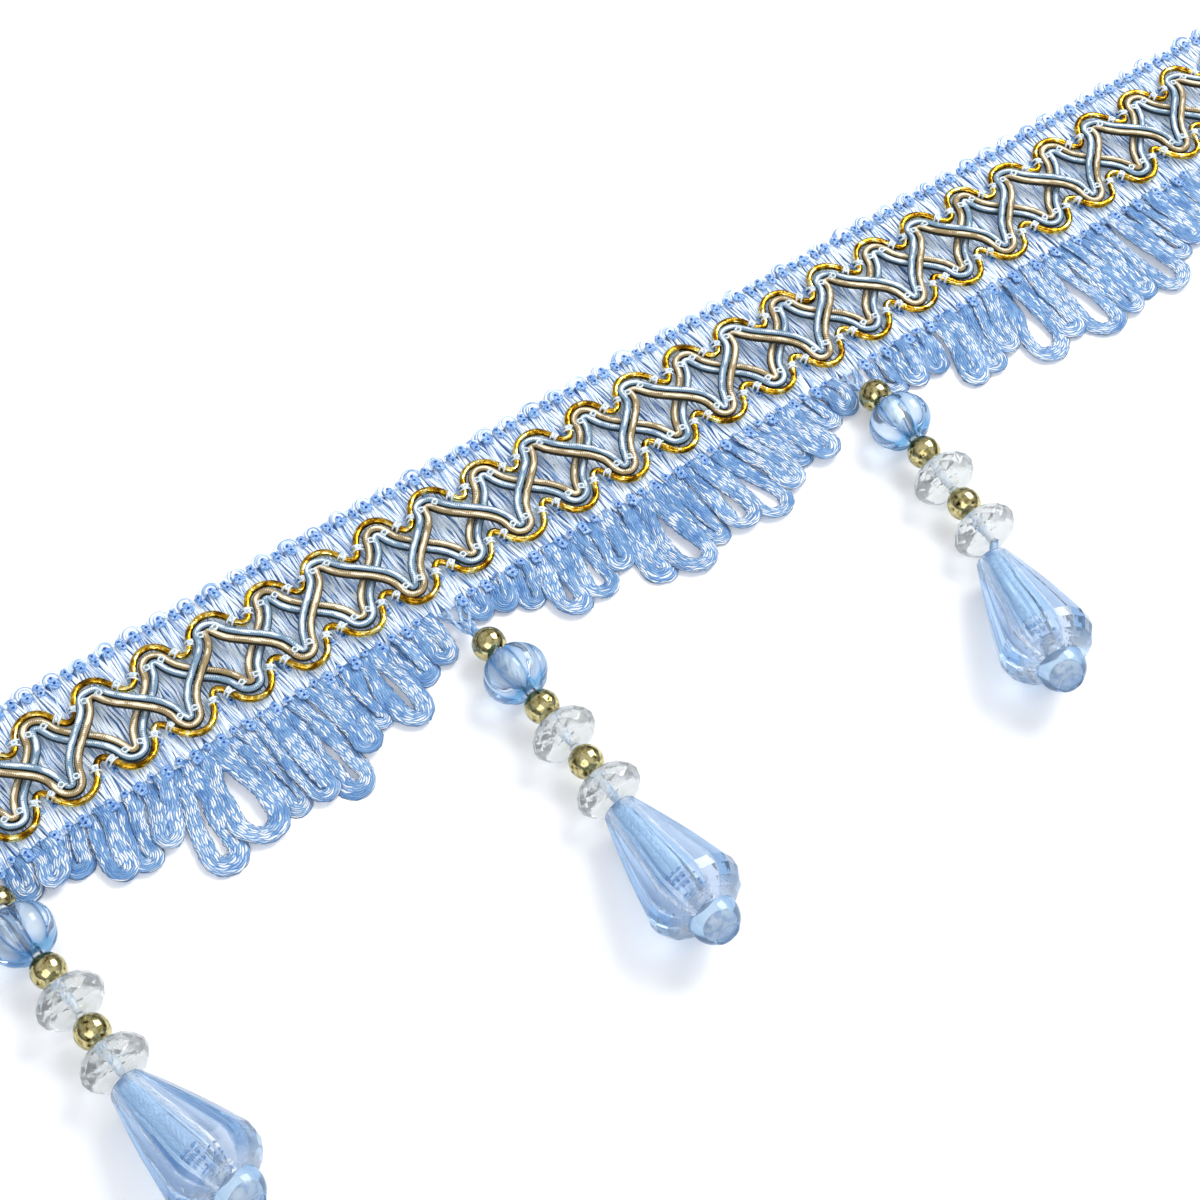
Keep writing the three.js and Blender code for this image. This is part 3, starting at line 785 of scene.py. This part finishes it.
def stitches():
    """Rows of chain stitches: along the looped edge, in each dip of the gold cords, and along
    the foot, where they hold the ribbon's roots."""
    columns = stitch_columns()
    parts = chain_stitches(columns[::2], EDGE_ROWS[0], WIDE_MOUND, 21)
    parts += chain_stitches(columns[1::2], EDGE_ROWS[1], SMALL_MOUND, 221)
    for row in DIP_ROWS:
        for step in (-0.5, 0.5):
            parts += chain_stitches(gold_dips() + step * STITCH_PITCH, row, SMALL_MOUND, 231)
    roots = inside(loop_layout()[:, 0])
    between = inside(np.append(roots - FRINGE_PITCH / 2, roots[-1] + FRINGE_PITCH / 2))
    parts += chain_stitches(between, FRINGE_ROWS[0], ROOT_MOUND, 241, FRINGE_STITCH_HEIGHT,
                            FRINGE_STITCH_GAP)
    parts += chain_stitches(roots, FRINGE_ROWS[1], SMALL_MOUND, 251, pair=(0,))
    return parts


def turned_yarns(columns, edge, sets, seed):
    """Yarns that turn round past an edge: a little more than half an oval, each set uneven in
    its size and place. Each set is (half width, rise, height above the surface, radius)."""
    rng = np.random.default_rng(seed)
    turn = np.linspace(-0.2, np.pi + 0.2, 11)
    parts = []
    for half, rise, height, radius in sets:
        uneven = 1 + rng.uniform(-0.14, 0.14, (len(columns), 1))
        centre = columns[:, None] + rng.uniform(-0.2, 0.2, (len(columns), 1))
        path = xyz(centre - half * np.cos(turn) * uneven, edge + rise * np.sin(turn) * uneven,
                   height + 0.25 * np.sin(turn) * uneven)
        parts.append(skins(cord_of(path, radius), tone=rng.uniform(0, 1, len(columns))))
    return parts


def edge_loops():
    """Yarns that turn round past the stitches of the upper edge: small scallops, higher over
    every second stitch."""
    tall, low = (inside(stitch_columns()[start::2], TURNS_MARGIN) for start in (0, 1))
    return (turned_yarns(tall, TALL_TURNS_FOOT, TALL_TURNS, 31)
            + turned_yarns(low, LOW_TURNS_FOOT, LOW_TURNS, 32))


# Braid

def band(angle, arch):
    """Middle line of a band: a cosine across the trim, with its run along the trim eased by
    sines of twice and four times the angle."""
    run = HALF_REPEAT * angle / np.pi
    run = run - NECK_DRAW * np.sin(2 * angle) + LIMB_EASE * np.sin(4 * angle)
    return np.stack([arch + run, BAND_MIDDLE + BAND_RISE * np.cos(angle)], -1)


def gold_line(angle, middle, rise, side):
    """Middle line of a gold cord: a cosine with an arch over every arch of the braid, its run
    along the trim eased by sines of the angle and of twice the angle."""
    arch = HALF_REPEAT * angle / (2 * np.pi)
    run = arch + GOLD_SPREAD * np.sin(angle) + GOLD_ROUND * np.sin(2 * angle)
    return np.stack([ARCH_Q + run, middle + side * rise * np.cos(angle)], -1)


def walk(line, steps, margin):
    """Even angles of a line that stays between the trim's ends."""
    count = int(2 * HALF_LENGTH / HALF_REPEAT) + 4
    angle = np.pi * np.arange(-count * steps, count * steps + 1) / steps
    return angle[np.abs(line(angle)[:, 0]) < HALF_LENGTH - margin]


def way_of(line, angle):
    """Which way a line runs, by the difference over a small step."""
    return line(angle + 0.01) - line(angle - 0.01)


def beside(line, angle, side):
    """A line moved sideways to its left."""
    way = way_of(line, angle)
    return line(angle) + side[:, None] * unit(np.stack([-way[:, 1], way[:, 0]], -1))


def lift_over(angle, lift):
    """How high a band rises where it crosses: the square of the sine."""
    return lift * np.sin(angle) ** 2


def swayed(flat, angle, spacing, along, across, seed, height):
    """A line of the braid at its height, with unevenness along and across the trim."""
    return xyz(flat[:, 0] + wander(angle, spacing, along, seed),
               flat[:, 1] + wander(angle, spacing, across, seed + 1), height)


def cord(arch, side, lift, seed):
    """One gimp cord of a band: beside the band's middle line, higher where its band crosses."""
    line = partial(band, arch=arch)
    angle = walk(line, 30, 1.0)
    flat = beside(line, angle, side + wander(angle, 0.9, 0.05, seed))
    height = BRAID_BASE + GIMP_HALF[1] + lift_over(angle, lift)
    path = swayed(flat, angle, 1.3, 0.22, 0.2, seed + 1, height)
    return [skins(carried(path, oval(12, *GIMP_HALF, 0.9)))]


def gold_cord(row, seed):
    """A gold cord that bows round every arch and dips between two: a film with eight flats that
    turn slowly round it, and whose corners are uneven along it."""
    line = partial(gold_line, **row)
    angle = walk(line, 24, 0.8)
    path = swayed(line(angle), angle, 2.1, 0.28, 0.25, seed, BRAID_BASE + GOLD_RADIUS)
    step = np.arange(len(path))
    corner = 997 * 7.0 * np.arange(GOLD_FLATS)
    crease = 1 + wander(step[:, None] + corner, 5.0, 0.07, seed + 2)
    section = oval(GOLD_FLATS, GOLD_RADIUS, GOLD_RADIUS) * crease[..., None]
    return [skins(carried(path, section, turn=GOLD_TWIST * step))]


def rings(centres, angle, size, thread):
    """Oval rings of thread, one at each centre: a circle of thread carried round an oval that
    is turned by `angle`."""
    steps, sides = full_turn(10), full_turn(6)
    out = np.stack([np.cos(steps), np.sin(steps)], -1)
    flat = out * np.asarray(size) / 2
    flat = flat[:, None] + thread * np.cos(sides)[None, :, None] * out[:, None]
    x, y = swung(flat[..., 0], flat[..., 1], angle[:, None, None])
    return xyz(x, y, thread * np.sin(sides)) + centres[:, None, None, :]


def ties(line, angle, height, seed, size, thread, eye=True):
    """A tie over a cord at each angle of its line: an oval ring of pale thread with a dark eye of
    painted shade, and two short tails across the cord that dip to its sides with the cube of the
    distance."""
    rng = np.random.default_rng(seed)
    keep = np.abs(line(angle)[:, 0]) < HALF_LENGTH - 2
    angle, height = angle[keep], np.broadcast_to(height, keep.shape)[keep]
    centres = xyz(*line(angle).T, height)
    way = way_of(line, angle)
    turned = np.arctan2(way[:, 1], way[:, 0]) + rng.uniform(-0.2, 0.2, len(angle))
    parts = [skins(rings(centres, turned, size, thread),
                   tone=rng.uniform(0, 1, len(angle)), ring=True)]
    if eye:
        parts.append(skins(dots(centres - (0, 0, TIE_LIFT), *TIE_EYE), finish=1))
    turned = turned[:, None]
    share = np.linspace(-1, 1, 9)
    run = (size[1] / 2 + TAIL_REACH) * share
    for step in (-TAIL_STEP, TAIL_STEP):
        lean = turned + np.pi / 2 + rng.uniform(-0.2, 0.2, (len(angle), 1))
        x = centres[:, :1] + step * np.cos(turned) + run * np.cos(lean)
        y = centres[:, 1:2] + step * np.sin(turned) + run * np.sin(lean)
        z = centres[:, 2:] - 0.02 - TAIL_DIP * np.abs(share) ** 3
        parts.append(skins(carried(xyz(x, y, z), oval(6, thread * 0.85, thread * 0.7)),
                           tone=rng.uniform(0, 1, len(angle))))
    return parts


def braid_ties():
    """Pale ties over both shoulders of every arch of both bands, and over the gold cords on
    both sides of every dip."""
    parts = []
    turns = np.arange(-40, 41)
    for arch, lift, seed in ((ARCH_P, CROSSING_LIFT, 41), (ARCH_Q, 0, 42)):
        for place in (-BAND_TIE_PLACE, BAND_TIE_PLACE):
            angle = np.pi * turns + place
            height = BRAID_BASE + 2 * GIMP_HALF[1] + lift_over(angle, lift) + TIE_LIFT
            parts += ties(partial(band, arch=arch), angle, height, seed, **BAND_TIE)
    for row, seed in ((GOLD_TOP, 43), (GOLD_FOOT, 44)):
        for place in (-GOLD_TIE_PLACE, GOLD_TIE_PLACE):
            height = BRAID_BASE + 2 * GOLD_RADIUS
            parts += ties(partial(gold_line, **row), 2 * np.pi * turns + place, height, seed,
                          **GOLD_TIE)
    return parts


# Loop fringe

def loop_layout():
    """Root, tip, reach and width of every loop: the loops of a scallop are packed by width
    between two pendants, and the cut ends go on with the neighbouring scallop's loops."""
    def packed(start, room, reaches, widths):
        widths = np.array(widths) * room / sum(widths)
        edges = start + np.concatenate([[0], widths.cumsum()])
        roots = start + (np.arange(len(widths)) + 0.5) * room / len(widths)
        return np.stack([roots, (edges[1:] + edges[:-1]) / 2, reaches, widths], -1)

    first = -HALF_LENGTH + FIRST_PENDANT
    room = PENDANT_PITCH - PENDANT_ROOM
    rows = [packed(first + i * PENDANT_PITCH + PENDANT_ROOM / 2, room, *scallop)
            for i, scallop in enumerate(SCALLOPS)]
    reach, width = SCALLOPS[0]
    left_room = FIRST_PENDANT - PENDANT_ROOM / 2
    left = round(left_room / FRINGE_PITCH)
    rows.append(packed(-HALF_LENGTH, left_room, reach[-left:], width[-left:]))
    right_start = first + len(SCALLOPS) * PENDANT_PITCH + PENDANT_ROOM / 2
    right = round((HALF_LENGTH - right_start) / FRINGE_PITCH)
    rows.append(packed(right_start, HALF_LENGTH - right_start, reach[:right], width[:right]))
    return np.concatenate(rows)


def smooth_step(share):
    """Three times the square less twice the cube, from 0 to 1."""
    return share ** 2 * (3 - 2 * share)


def loop_path(root, tip, reach, width, number):
    """A loop seen from above, down on its left and up on its right. Its half width grows from
    the root to the bulb with a smooth step, and closes round the tip as half an ellipse. Its
    middle line runs from root to tip with a smooth step and bends aside with a sine."""
    rng = np.random.default_rng(500 + number)
    foot = BACKING_TOP - BACKING_WIDTH - reach + RIBBON_HALF[0]
    top = BACKING_TOP + 0.5
    depth = top - foot
    radius = max((width - LOOP_GAP - STRAND_WIDTH) / 2, 1.0)
    close = min(radius * 1.15, depth * 0.4)
    step = np.linspace(0, 1, 60)
    leg_half = ROOT_SPREAD / 2 + (radius - ROOT_SPREAD / 2) * smooth_step(step)
    turn = np.linspace(0, np.pi, 60)[1:-1]
    half = np.concatenate([-leg_half, -radius * np.cos(turn), leg_half[::-1]])
    leg_y = top - (depth - close) * step
    y = np.concatenate([leg_y, foot + close - close * np.sin(turn), leg_y[::-1]])
    down = (top - y) / depth
    bow = np.sin(np.pi * down)
    bend = rng.uniform(-0.9, 0.9) * min(depth / 14, 1)
    middle = root + (tip - root) * smooth_step(down) + bend * bow
    climb = RIBBON_CLIMB * np.linspace(0, 1, len(y)) * (1 - 0.5 * down)
    z = RIBBON_UNDER[number % 2] + climb + 0.35 * rng.uniform(0, 1) * bow
    return xyz(middle + half, y, z)


def fringe():
    """Every loop as a flat knitted ribbon that twists a little on its way round. Its section is
    an oval whose points stand out and in at random, and neighbouring loops lie under and over
    each other in turn."""
    flat = oval(RIBBON_COLUMNS, *RIBBON_HALF, 1.2)
    parts = []
    for number, row in enumerate(loop_layout()):
        path, at = evenly(loop_path(*row, number), 0.5)
        sway = xyz(wander(at, 4, 0.22, 800 + number), wander(at, 4, 0.2, 900 + number),
                   wander(at, 6, 0.12, 700 + number))
        rng = np.random.default_rng(600 + number)
        uneven = 1 + rng.uniform(-0.09, 0.09, (len(at), RIBBON_COLUMNS))
        swell = 1 + wander(at, 4, 0.2, 1100 + number)[:, None]
        section = flat * np.stack([uneven * swell, uneven / swell], -1)
        twist = wander(at, 6, 0.34, 1000 + number)
        ribbon = above(carried(path + sway, section, turn=twist), YARN_GAP)
        parts.append(skins(ribbon, tone=(number * 0.381) % 1))
    return parts


# Pendants

def bored(outside, radius, half, rows):
    """A bead's profile: its outside and then its bore, a straight wall back to the start."""
    bore = np.stack([np.full(rows, radius), np.linspace(half, -half, rows)], -1)
    return np.concatenate([outside, bore])


def gold_bead():
    """A ball with a bore: both lips are rounded in a little."""
    lip = math.asin(BORE / GOLD_BEAD)
    polar = np.linspace(lip, np.pi - lip, 40)
    outside = np.stack([GOLD_BEAD * np.sin(polar), -GOLD_BEAD * np.cos(polar)], -1)
    return revolved(bored(outside, BORE * 0.98, 2.5, 4), 64), 0.5


def melon_bead():
    """A barrel with rounded lobes: its radius falls off to a sharp groove between two lobes, with a
    power of the sine round it. The tint is deeper in the grooves and at the ends, painted shade for
    the dark lines that the glass shows there."""
    angle = np.linspace(-MELON["shoulder"], MELON["shoulder"], 26)
    place = MELON["half"] * np.sin(angle) / math.sin(MELON["shoulder"])
    profile = bored(np.stack([MELON["radius"] * np.cos(angle) ** 0.9, place], -1),
                    BORE, MELON["half"], 6)
    turn = full_turn(FINE_COLUMNS)
    groove = 1 - np.abs(np.sin(turn * MELON["lobes"] / 2)) ** 0.6
    lobed = 1 - groove * MELON["groove"] / MELON["radius"]
    radius = profile[:, :1] * np.where(profile[:, :1] > BORE * 1.05, lobed, 1)
    near_end = np.abs(place[:, None] / MELON["half"]) ** 4
    tint = np.zeros(radius.shape)
    # painted shade: deeper tint in the grooves and near the ends
    tint[:len(place)] = 0.45 * groove + 0.6 * near_end
    return about_y(radius, profile[:, 1:], turn), tint


def rondelle():
    """A cut bead: every ring of corners is turned half a facet against the one before, so the
    skin between two rings is a row of triangles."""
    half, radius = RONDELLE["half"], RONDELLE["radius"]
    front = np.array([(BORE, -half), (2.9, -half), (4.4, -2.5), (5.4, -1.45), (radius, -0.4)])
    profile = np.concatenate([front, front[::-1] * (1, -1)])
    ring = np.arange(len(profile))[:, None]
    turn = full_turn(RONDELLE["cuts"]) + np.pi * ring / RONDELLE["cuts"]
    return about_y(profile[:, :1], profile[:, 1:], turn), 0.0


def drop_bead():
    """A long drop: a cone of long flats, each with a tint of its own, that turn in to the neck.
    A flat's radius is the cosine of half its angle over the cosine of the angle from its
    middle. The bore is wide and ends in a dome."""
    d = DROP
    down = np.linspace(0, 1, 14)
    bulge = 0.3 * np.sin(np.pi * down)
    body = np.stack([d["mouth"] + (d["widest"] - d["mouth"]) * down + bulge, -d["body"] * down], -1)
    end = np.array([(8.3, -21.6), (d["shoulder_radius"], -d["shoulder"]), (5.7, -24.3),
                    (4.35, -d["neck"]), (3.6, -d["neck"] - 0.1), (0.4, -d["neck"] - 0.2)])
    bore = np.array([(0.3, -22.2), (1.4, -22.0), (2.0, -21.0), (2.0, -16.0), (1.8, -8.0),
                     (1.8, -3.0), (2.1, -0.8), (2.4, 0.0)])
    profile = np.concatenate([bore, body, end])
    outside = (np.arange(len(profile)) >= len(bore))[:, None]
    half_flat = np.pi / d["flutes"]
    turn = full_turn(FINE_COLUMNS)
    fluted = math.cos(half_flat) / np.cos(turn % (2 * half_flat) - half_flat)
    depth = np.interp(-profile[:, 1:], (0, 2, d["shoulder"], d["neck"]), (0.6, 1, 1, 0.0))
    radius = profile[:, :1] * np.where(outside, 1 - depth * (1 - fluted), 1)
    tint = np.random.default_rng(91).uniform(0, 0.6, d["flutes"])
    tint = np.repeat(tint, FINE_COLUMNS // d["flutes"]) * np.where(outside, depth, 0)
    return about_y(radius, profile[:, 1:], turn), tint - np.where(outside, 0, 0.5)


def drop_knob():
    """The knob at the drop's end: a ball cut off at the neck, with a dimple in its face."""
    bend = np.linspace(-0.15, 0.9, 8)
    centre = DROP["length"] - DROP["knob"]
    ball = np.stack([DROP["knob"] * np.cos(bend), -centre - DROP["knob"] * np.sin(bend)], -1)
    neck = np.array([(0.4, -DROP["neck"] - 0.25), (3.9, -DROP["neck"] - 0.25)])
    face = np.array([(2.2, -29.75), (2.0, -29.45), (0.4, -29.4)])
    return revolved(np.concatenate([neck, ball, face]), 48)


def drop_core():
    """A pale core inside the knob."""
    polar = np.linspace(0.15, np.pi - 0.15, 12)
    middle = DROP["length"] - DROP["knob"] + 1.0
    return revolved(np.stack([2.2 * np.sin(polar), -middle - 1.1 * np.cos(polar)], -1)[::-1], 24)


def knotted_end():
    """The yarn's knotted end in the drop: closed loops whose three coordinates are sines of
    small whole multiples of one angle."""
    angle = full_turn(44)
    number = np.arange(len(KNOT_TONES))[:, None]
    path = xyz(np.sin(3 * angle + 0.4 + number), np.sin(2 * angle + 1.1 + 2 * number),
               np.sin(5 * angle + 2.0 + 3 * number))
    return cord_of(path * KNOT_SIZE - (0, KNOT_DEPTH, 0), KNOT_RADIUS)


def yarn_plies(path, root, gap):
    """Plies that wind round each other along a path: closer and paler in the beads than before them,
    wide and blue again in the `gap`, which is two distances along the path, and loose and pale
    beyond it. That paleness is painted light, and the yarn's finish also makes it glow. Over the
    `root` millimetres at its start they part to both sides, with a power of what is left of them."""
    path, at = evenly(path, 0.35)
    left = np.clip(1 - at / root, 0, 1) ** 1.4
    wide = np.interp(at, (root, root + 1, gap[0] - 0.6, *gap), (1, 0.5, 0.5, 1, 1.3))
    # painted light: how pale and glowing the plies are along the path
    pale = np.interp(at, (root, root + 1, gap[0] - 0.6, *gap, gap[1] + 1), (0, 0.5, 0.5, 0, 0, 1))
    parts = []
    for ply in range(PLIES):
        turn = 2 * np.pi * (at / PLY_LAY + ply / PLIES)
        aside = (-1) ** ply * (0.9 + 0.35 * ply) * left
        wound = PLY_TURN * wide
        offset = xyz(wound * np.cos(turn) + aside, 0, wound * np.sin(turn))
        points = above(cord_of(path + offset, PLY_RADIUS, 8), YARN_GAP)
        parts.append(skins(points, tone=np.broadcast_to(pale[:, None], points.shape[:2])))
    return parts


def pendant(number, row, finishes):
    """A string of beads: it climbs through the first gold bead, runs level along -Y and turns
    into the drop."""
    aside, yarn, string, gap, shift, drop = row
    start = -HALF_LENGTH + FIRST_PENDANT + number * PENDANT_PITCH + aside
    slope = yarn + 2 * GOLD_BEAD
    climb = math.asin((STRING_HEIGHT - YARN_HEIGHT) / slope)

    def along(far):
        return np.array((0, -far * math.cos(climb), YARN_HEIGHT + far * math.sin(climb)))

    def level(far):
        return np.array((0, along(slope)[1] - far, STRING_HEIGHT))

    def laid(points):
        return tilted(points, turn=math.radians(string), at=(start, YARN_START, 0))

    def in_drop(points):
        return tilted(points, DROP_CLIMB, math.radians(drop), mouth)

    melon_at = BEAD_GAP + GOLD_BEAD * (1 - math.cos(climb)) + MELON["half"]
    gold_at = melon_at + MELON["half"] + BEAD_GAP + GOLD_BEAD
    step = GOLD_BEAD + BEAD_GAP + RONDELLE["half"]
    last_face = gold_at + 3 * step + RONDELLE["half"]
    mouth = level(last_face + gap) + (shift, 0, 0)
    name = f"pendant_{number + 1}"
    beads = (
        ("gold_bead_1", gold_bead, along(yarn + GOLD_BEAD), climb),
        ("melon_bead", melon_bead, level(melon_at), 0),
        ("gold_bead_2", gold_bead, level(gold_at), 0),
        ("rondelle_1", rondelle, level(gold_at + step), 0),
        ("gold_bead_3", gold_bead, level(gold_at + 2 * step), 0),
        ("rondelle_2", rondelle, level(gold_at + 3 * step), 0),
    )
    made = []
    for label, shape, place, raised in beads:
        slot, finish = finishes[label.rstrip("_123")]
        points, tone = shape()
        points = above(laid(tilted(points, raised, at=place)), SURFACE_GAP)
        cut = shape is rondelle
        made.append(add_piece(f"{name}_{label}_bead", [finish],
                              [skins(points, tone, ring=True, facets=cut)], [f"{name}_{label}"],
                              sharp=15 if cut else 40))
    slot, *drop_finishes = finishes["drop"]
    body, tint = drop_bead()
    shells = [skins(above(laid(in_drop(shape)), SURFACE_GAP), tone, finish)
              for finish, (shape, tone) in enumerate(((body, tint), (drop_knob(), 0.1),
                                                      (drop_core(), 0.5)))]
    made.append(add_piece(f"{name}_fluted_drop", drop_finishes, shells, [f"{name}_drop"],
                          sharp=14))
    path = laid(np.array([(0, YARN_ROOT, YARN_HEIGHT), along(0), along(yarn + GOLD_BEAD),
                          along(slope), level(last_face), mouth,
                          in_drop(np.array((0, -YARN_END, 0)))]))
    plies = yarn_plies(path, yarn + YARN_ROOT, distances(path)[4:6])
    plies.append(skins(laid(in_drop(knotted_end())), tone=KNOT_TONES, ring=True))
    slot, finish = finishes["yarn"]
    made.append(add_piece(f"{name}_plied_yarn", [finish], plies, [f"{name}_yarn"]))
    return made


def heading_and_braid():
    """The pieces that lie on the heading's ground, from the weft to the ties."""
    satin, thread, tie = satin_weft(), stitch_thread(), binding_thread()
    # The eyes of stitches and ties are painted shade: dark spots where their holes lie in shade.
    stitch_eye_shade = painted_eye_shade("stitch_eye_shade", 900.0, "#0E2F82", "#2E5CB8")
    tie_eye_shade = painted_eye_shade("tie_eye_shade", 700.0, "#485A60", "#8C9C98")
    # Each gimp's first colour is painted shade for its sides and its last a painted highlight for
    # its crown.
    blue = gimp("blue_gimp", "#26343C", "#7E9CB6", "#F0F8FF")
    beige = gimp("beige_gimp", "#2E2A1A", "#A08C66", "#FFF4DC")
    film = gold_film()
    made = [
        add_piece("heading_weft", [satin], weft()),
        add_piece("heading_stitches", [thread, stitch_eye_shade], stitches()),
        add_piece("heading_edge_loops", [satin], edge_loops()),
    ]
    for level, arch, side, lift, seed in (("lower", ARCH_Q, -1, 0, 51),
                                          ("upper", ARCH_P, 1, CROSSING_LIFT, 61)):
        for colour, finish, offset in (("blue", blue, side * GIMP_OFFSET),
                                       ("beige", beige, -side * GIMP_OFFSET)):
            made.append(add_piece(f"braid_{level}_{colour}", [finish],
                                  cord(arch, offset, lift, seed), [f"gimp_{level}_{colour}"]))
    for edge, row, seed in (("top", GOLD_TOP, 71), ("foot", GOLD_FOOT, 81)):
        made.append(add_piece(f"gold_edging_{edge}", [film], gold_cord(row, seed),
                              [f"gold_cord_{edge}"]))
    made.append(add_piece("braid_ties", [tie, tie_eye_shade], braid_ties()))
    return made


def pendants():
    """The four strings of beads, with the materials of each kind of bead."""
    finishes = {
        "gold_bead": ("plated_bead", plated_bead()),
        "melon_bead": ("blue_bead",
                       clear_acrylic("blue_acrylic", "#E8F3FA", "#3C8AD0", 0.02, 0.94)),
        "rondelle": ("clear_bead",
                     clear_acrylic("clear_acrylic", "#F4F7F7", "#D0D8DE", 0.07, 0.86, cells=900.0)),
        "drop": ("drop_bead",
                 clear_acrylic("drop_acrylic", "#F9FBFE", "#90BEEC", 0.04, 0.92, lines=True),
                 clear_acrylic("knob_acrylic", "#CCE4F6", "#509CDC", 0.05, 0.82), cloudy_core()),
        "yarn": ("pendant_yarn", pendant_yarn()),
    }
    return [piece for number, row in enumerate(PENDANTS) for piece in pendant(number, row, finishes)]


def make_trim():
    """Every piece of the trim: the heading's ground, the pieces on it, the fringe and the pendants.
    """
    cloth = add_piece("heading_ground", [knitted_ground()], ground(), ["heading"])
    on_it = heading_and_braid()
    on_it.append(add_piece("fringe_ribbon", [knitted_ribbon()], fringe(),
                           ["fringe_loops"]))
    on_it += pendants()


# Floor, light and camera

def posed(right, up, back, place):
    """A matrix at `place` whose axes point right, up and back."""
    made = np.eye(4)
    made[:3] = np.stack([right, up, back, place], -1)
    return Matrix(made)


def floor():
    """A wide pale floor just under the trim."""
    mesh = bpy.data.meshes.new("floor")
    mesh.from_pydata([(-FLOOR_HALF, -FLOOR_HALF, 0), (FLOOR_HALF, -FLOOR_HALF, 0),
                      (FLOOR_HALF, FLOOR_HALF, 0), (-FLOOR_HALF, FLOOR_HALF, 0)], [],
                     [(0, 1, 2, 3)])
    surface = Finish("pale_floor", Roughness=0.6, Base_Color=paint("#F6F7FA"),
                     Emission_Color=paint("#F4F8FF"), Emission_Strength=0.12)
    mesh.materials.append(surface.material)
    add_object("floor", mesh)


def soft_light(name, place, size, power, tint):
    """A square area light at `place` whose -Z axis points to the row frame's origin."""
    data = bpy.data.lights.new(name, "AREA")
    data.size = size
    data.energy = power
    data.color = tint
    back = unit(np.array(place))
    right = unit(np.cross((0, 1, 0.001), back))
    add_object(name, data).matrix_world = posed(right, np.cross(back, right), back, place)


def studio():
    """Pale overhead and darker low down, which gives the beads and the gold their dark
    reflections, while the camera sees it pale."""
    world = bpy.data.worlds.new("studio")
    world.use_nodes = True
    nodes, links = world.node_tree.nodes, world.node_tree.links
    up = nodes.new("ShaderNodeSeparateXYZ")
    links.new(nodes.new("ShaderNodeTexCoord").outputs["Generated"], up.inputs[0])
    ramp = nodes.new("ShaderNodeValToRGB")
    set_ramp(ramp.color_ramp, (STUDIO_LOW, STUDIO_HIGH))
    links.new(up.outputs["Z"], ramp.inputs[0])
    seen = nodes.new("ShaderNodeMix")
    seen.data_type = "RGBA"
    links.new(nodes.new("ShaderNodeLightPath").outputs["Is Camera Ray"], seen.inputs["Factor"])
    links.new(ramp.outputs["Color"], seen.inputs[6])
    seen.inputs[7].default_value = paint(STUDIO_SEEN)
    links.new(seen.outputs[2], nodes["Background"].inputs["Color"])
    nodes["Background"].inputs["Strength"].default_value = STUDIO_STRENGTH
    bpy.context.scene.world = world
    bpy.context.scene.view_settings.view_transform = "Standard"


def camera():
    """A camera that looks at a point on the floor from its azimuth and height, rolled."""
    a, e, r = (math.radians(v) for v in (CAMERA_AZIMUTH, CAMERA_HEIGHT, CAMERA_ROLL))
    right = np.array((math.cos(a), -math.sin(a), 0))
    forward = np.array((math.sin(a) * math.cos(e), math.cos(a) * math.cos(e), -math.sin(e)))
    down = np.cross(forward, right)
    target = np.array((CAMERA_TARGET[0] + ORIGIN_X, CAMERA_TARGET[1] + ORIGIN_Y, 0)) * MM
    data = bpy.data.cameras.new("camera")
    data.lens = CAMERA_LENS
    data.sensor_width = SENSOR
    data.clip_start = 0.01
    made = add_object("camera", data)
    made.matrix_world = posed(right * math.cos(r) + down * math.sin(r),
                              right * math.sin(r) - down * math.cos(r), -forward,
                              target - forward * CAMERA_DISTANCE * MM)
    bpy.context.scene.camera = made


camera()
make_trim()
floor()
studio()
for light in LIGHTS:
    soft_light(*light)
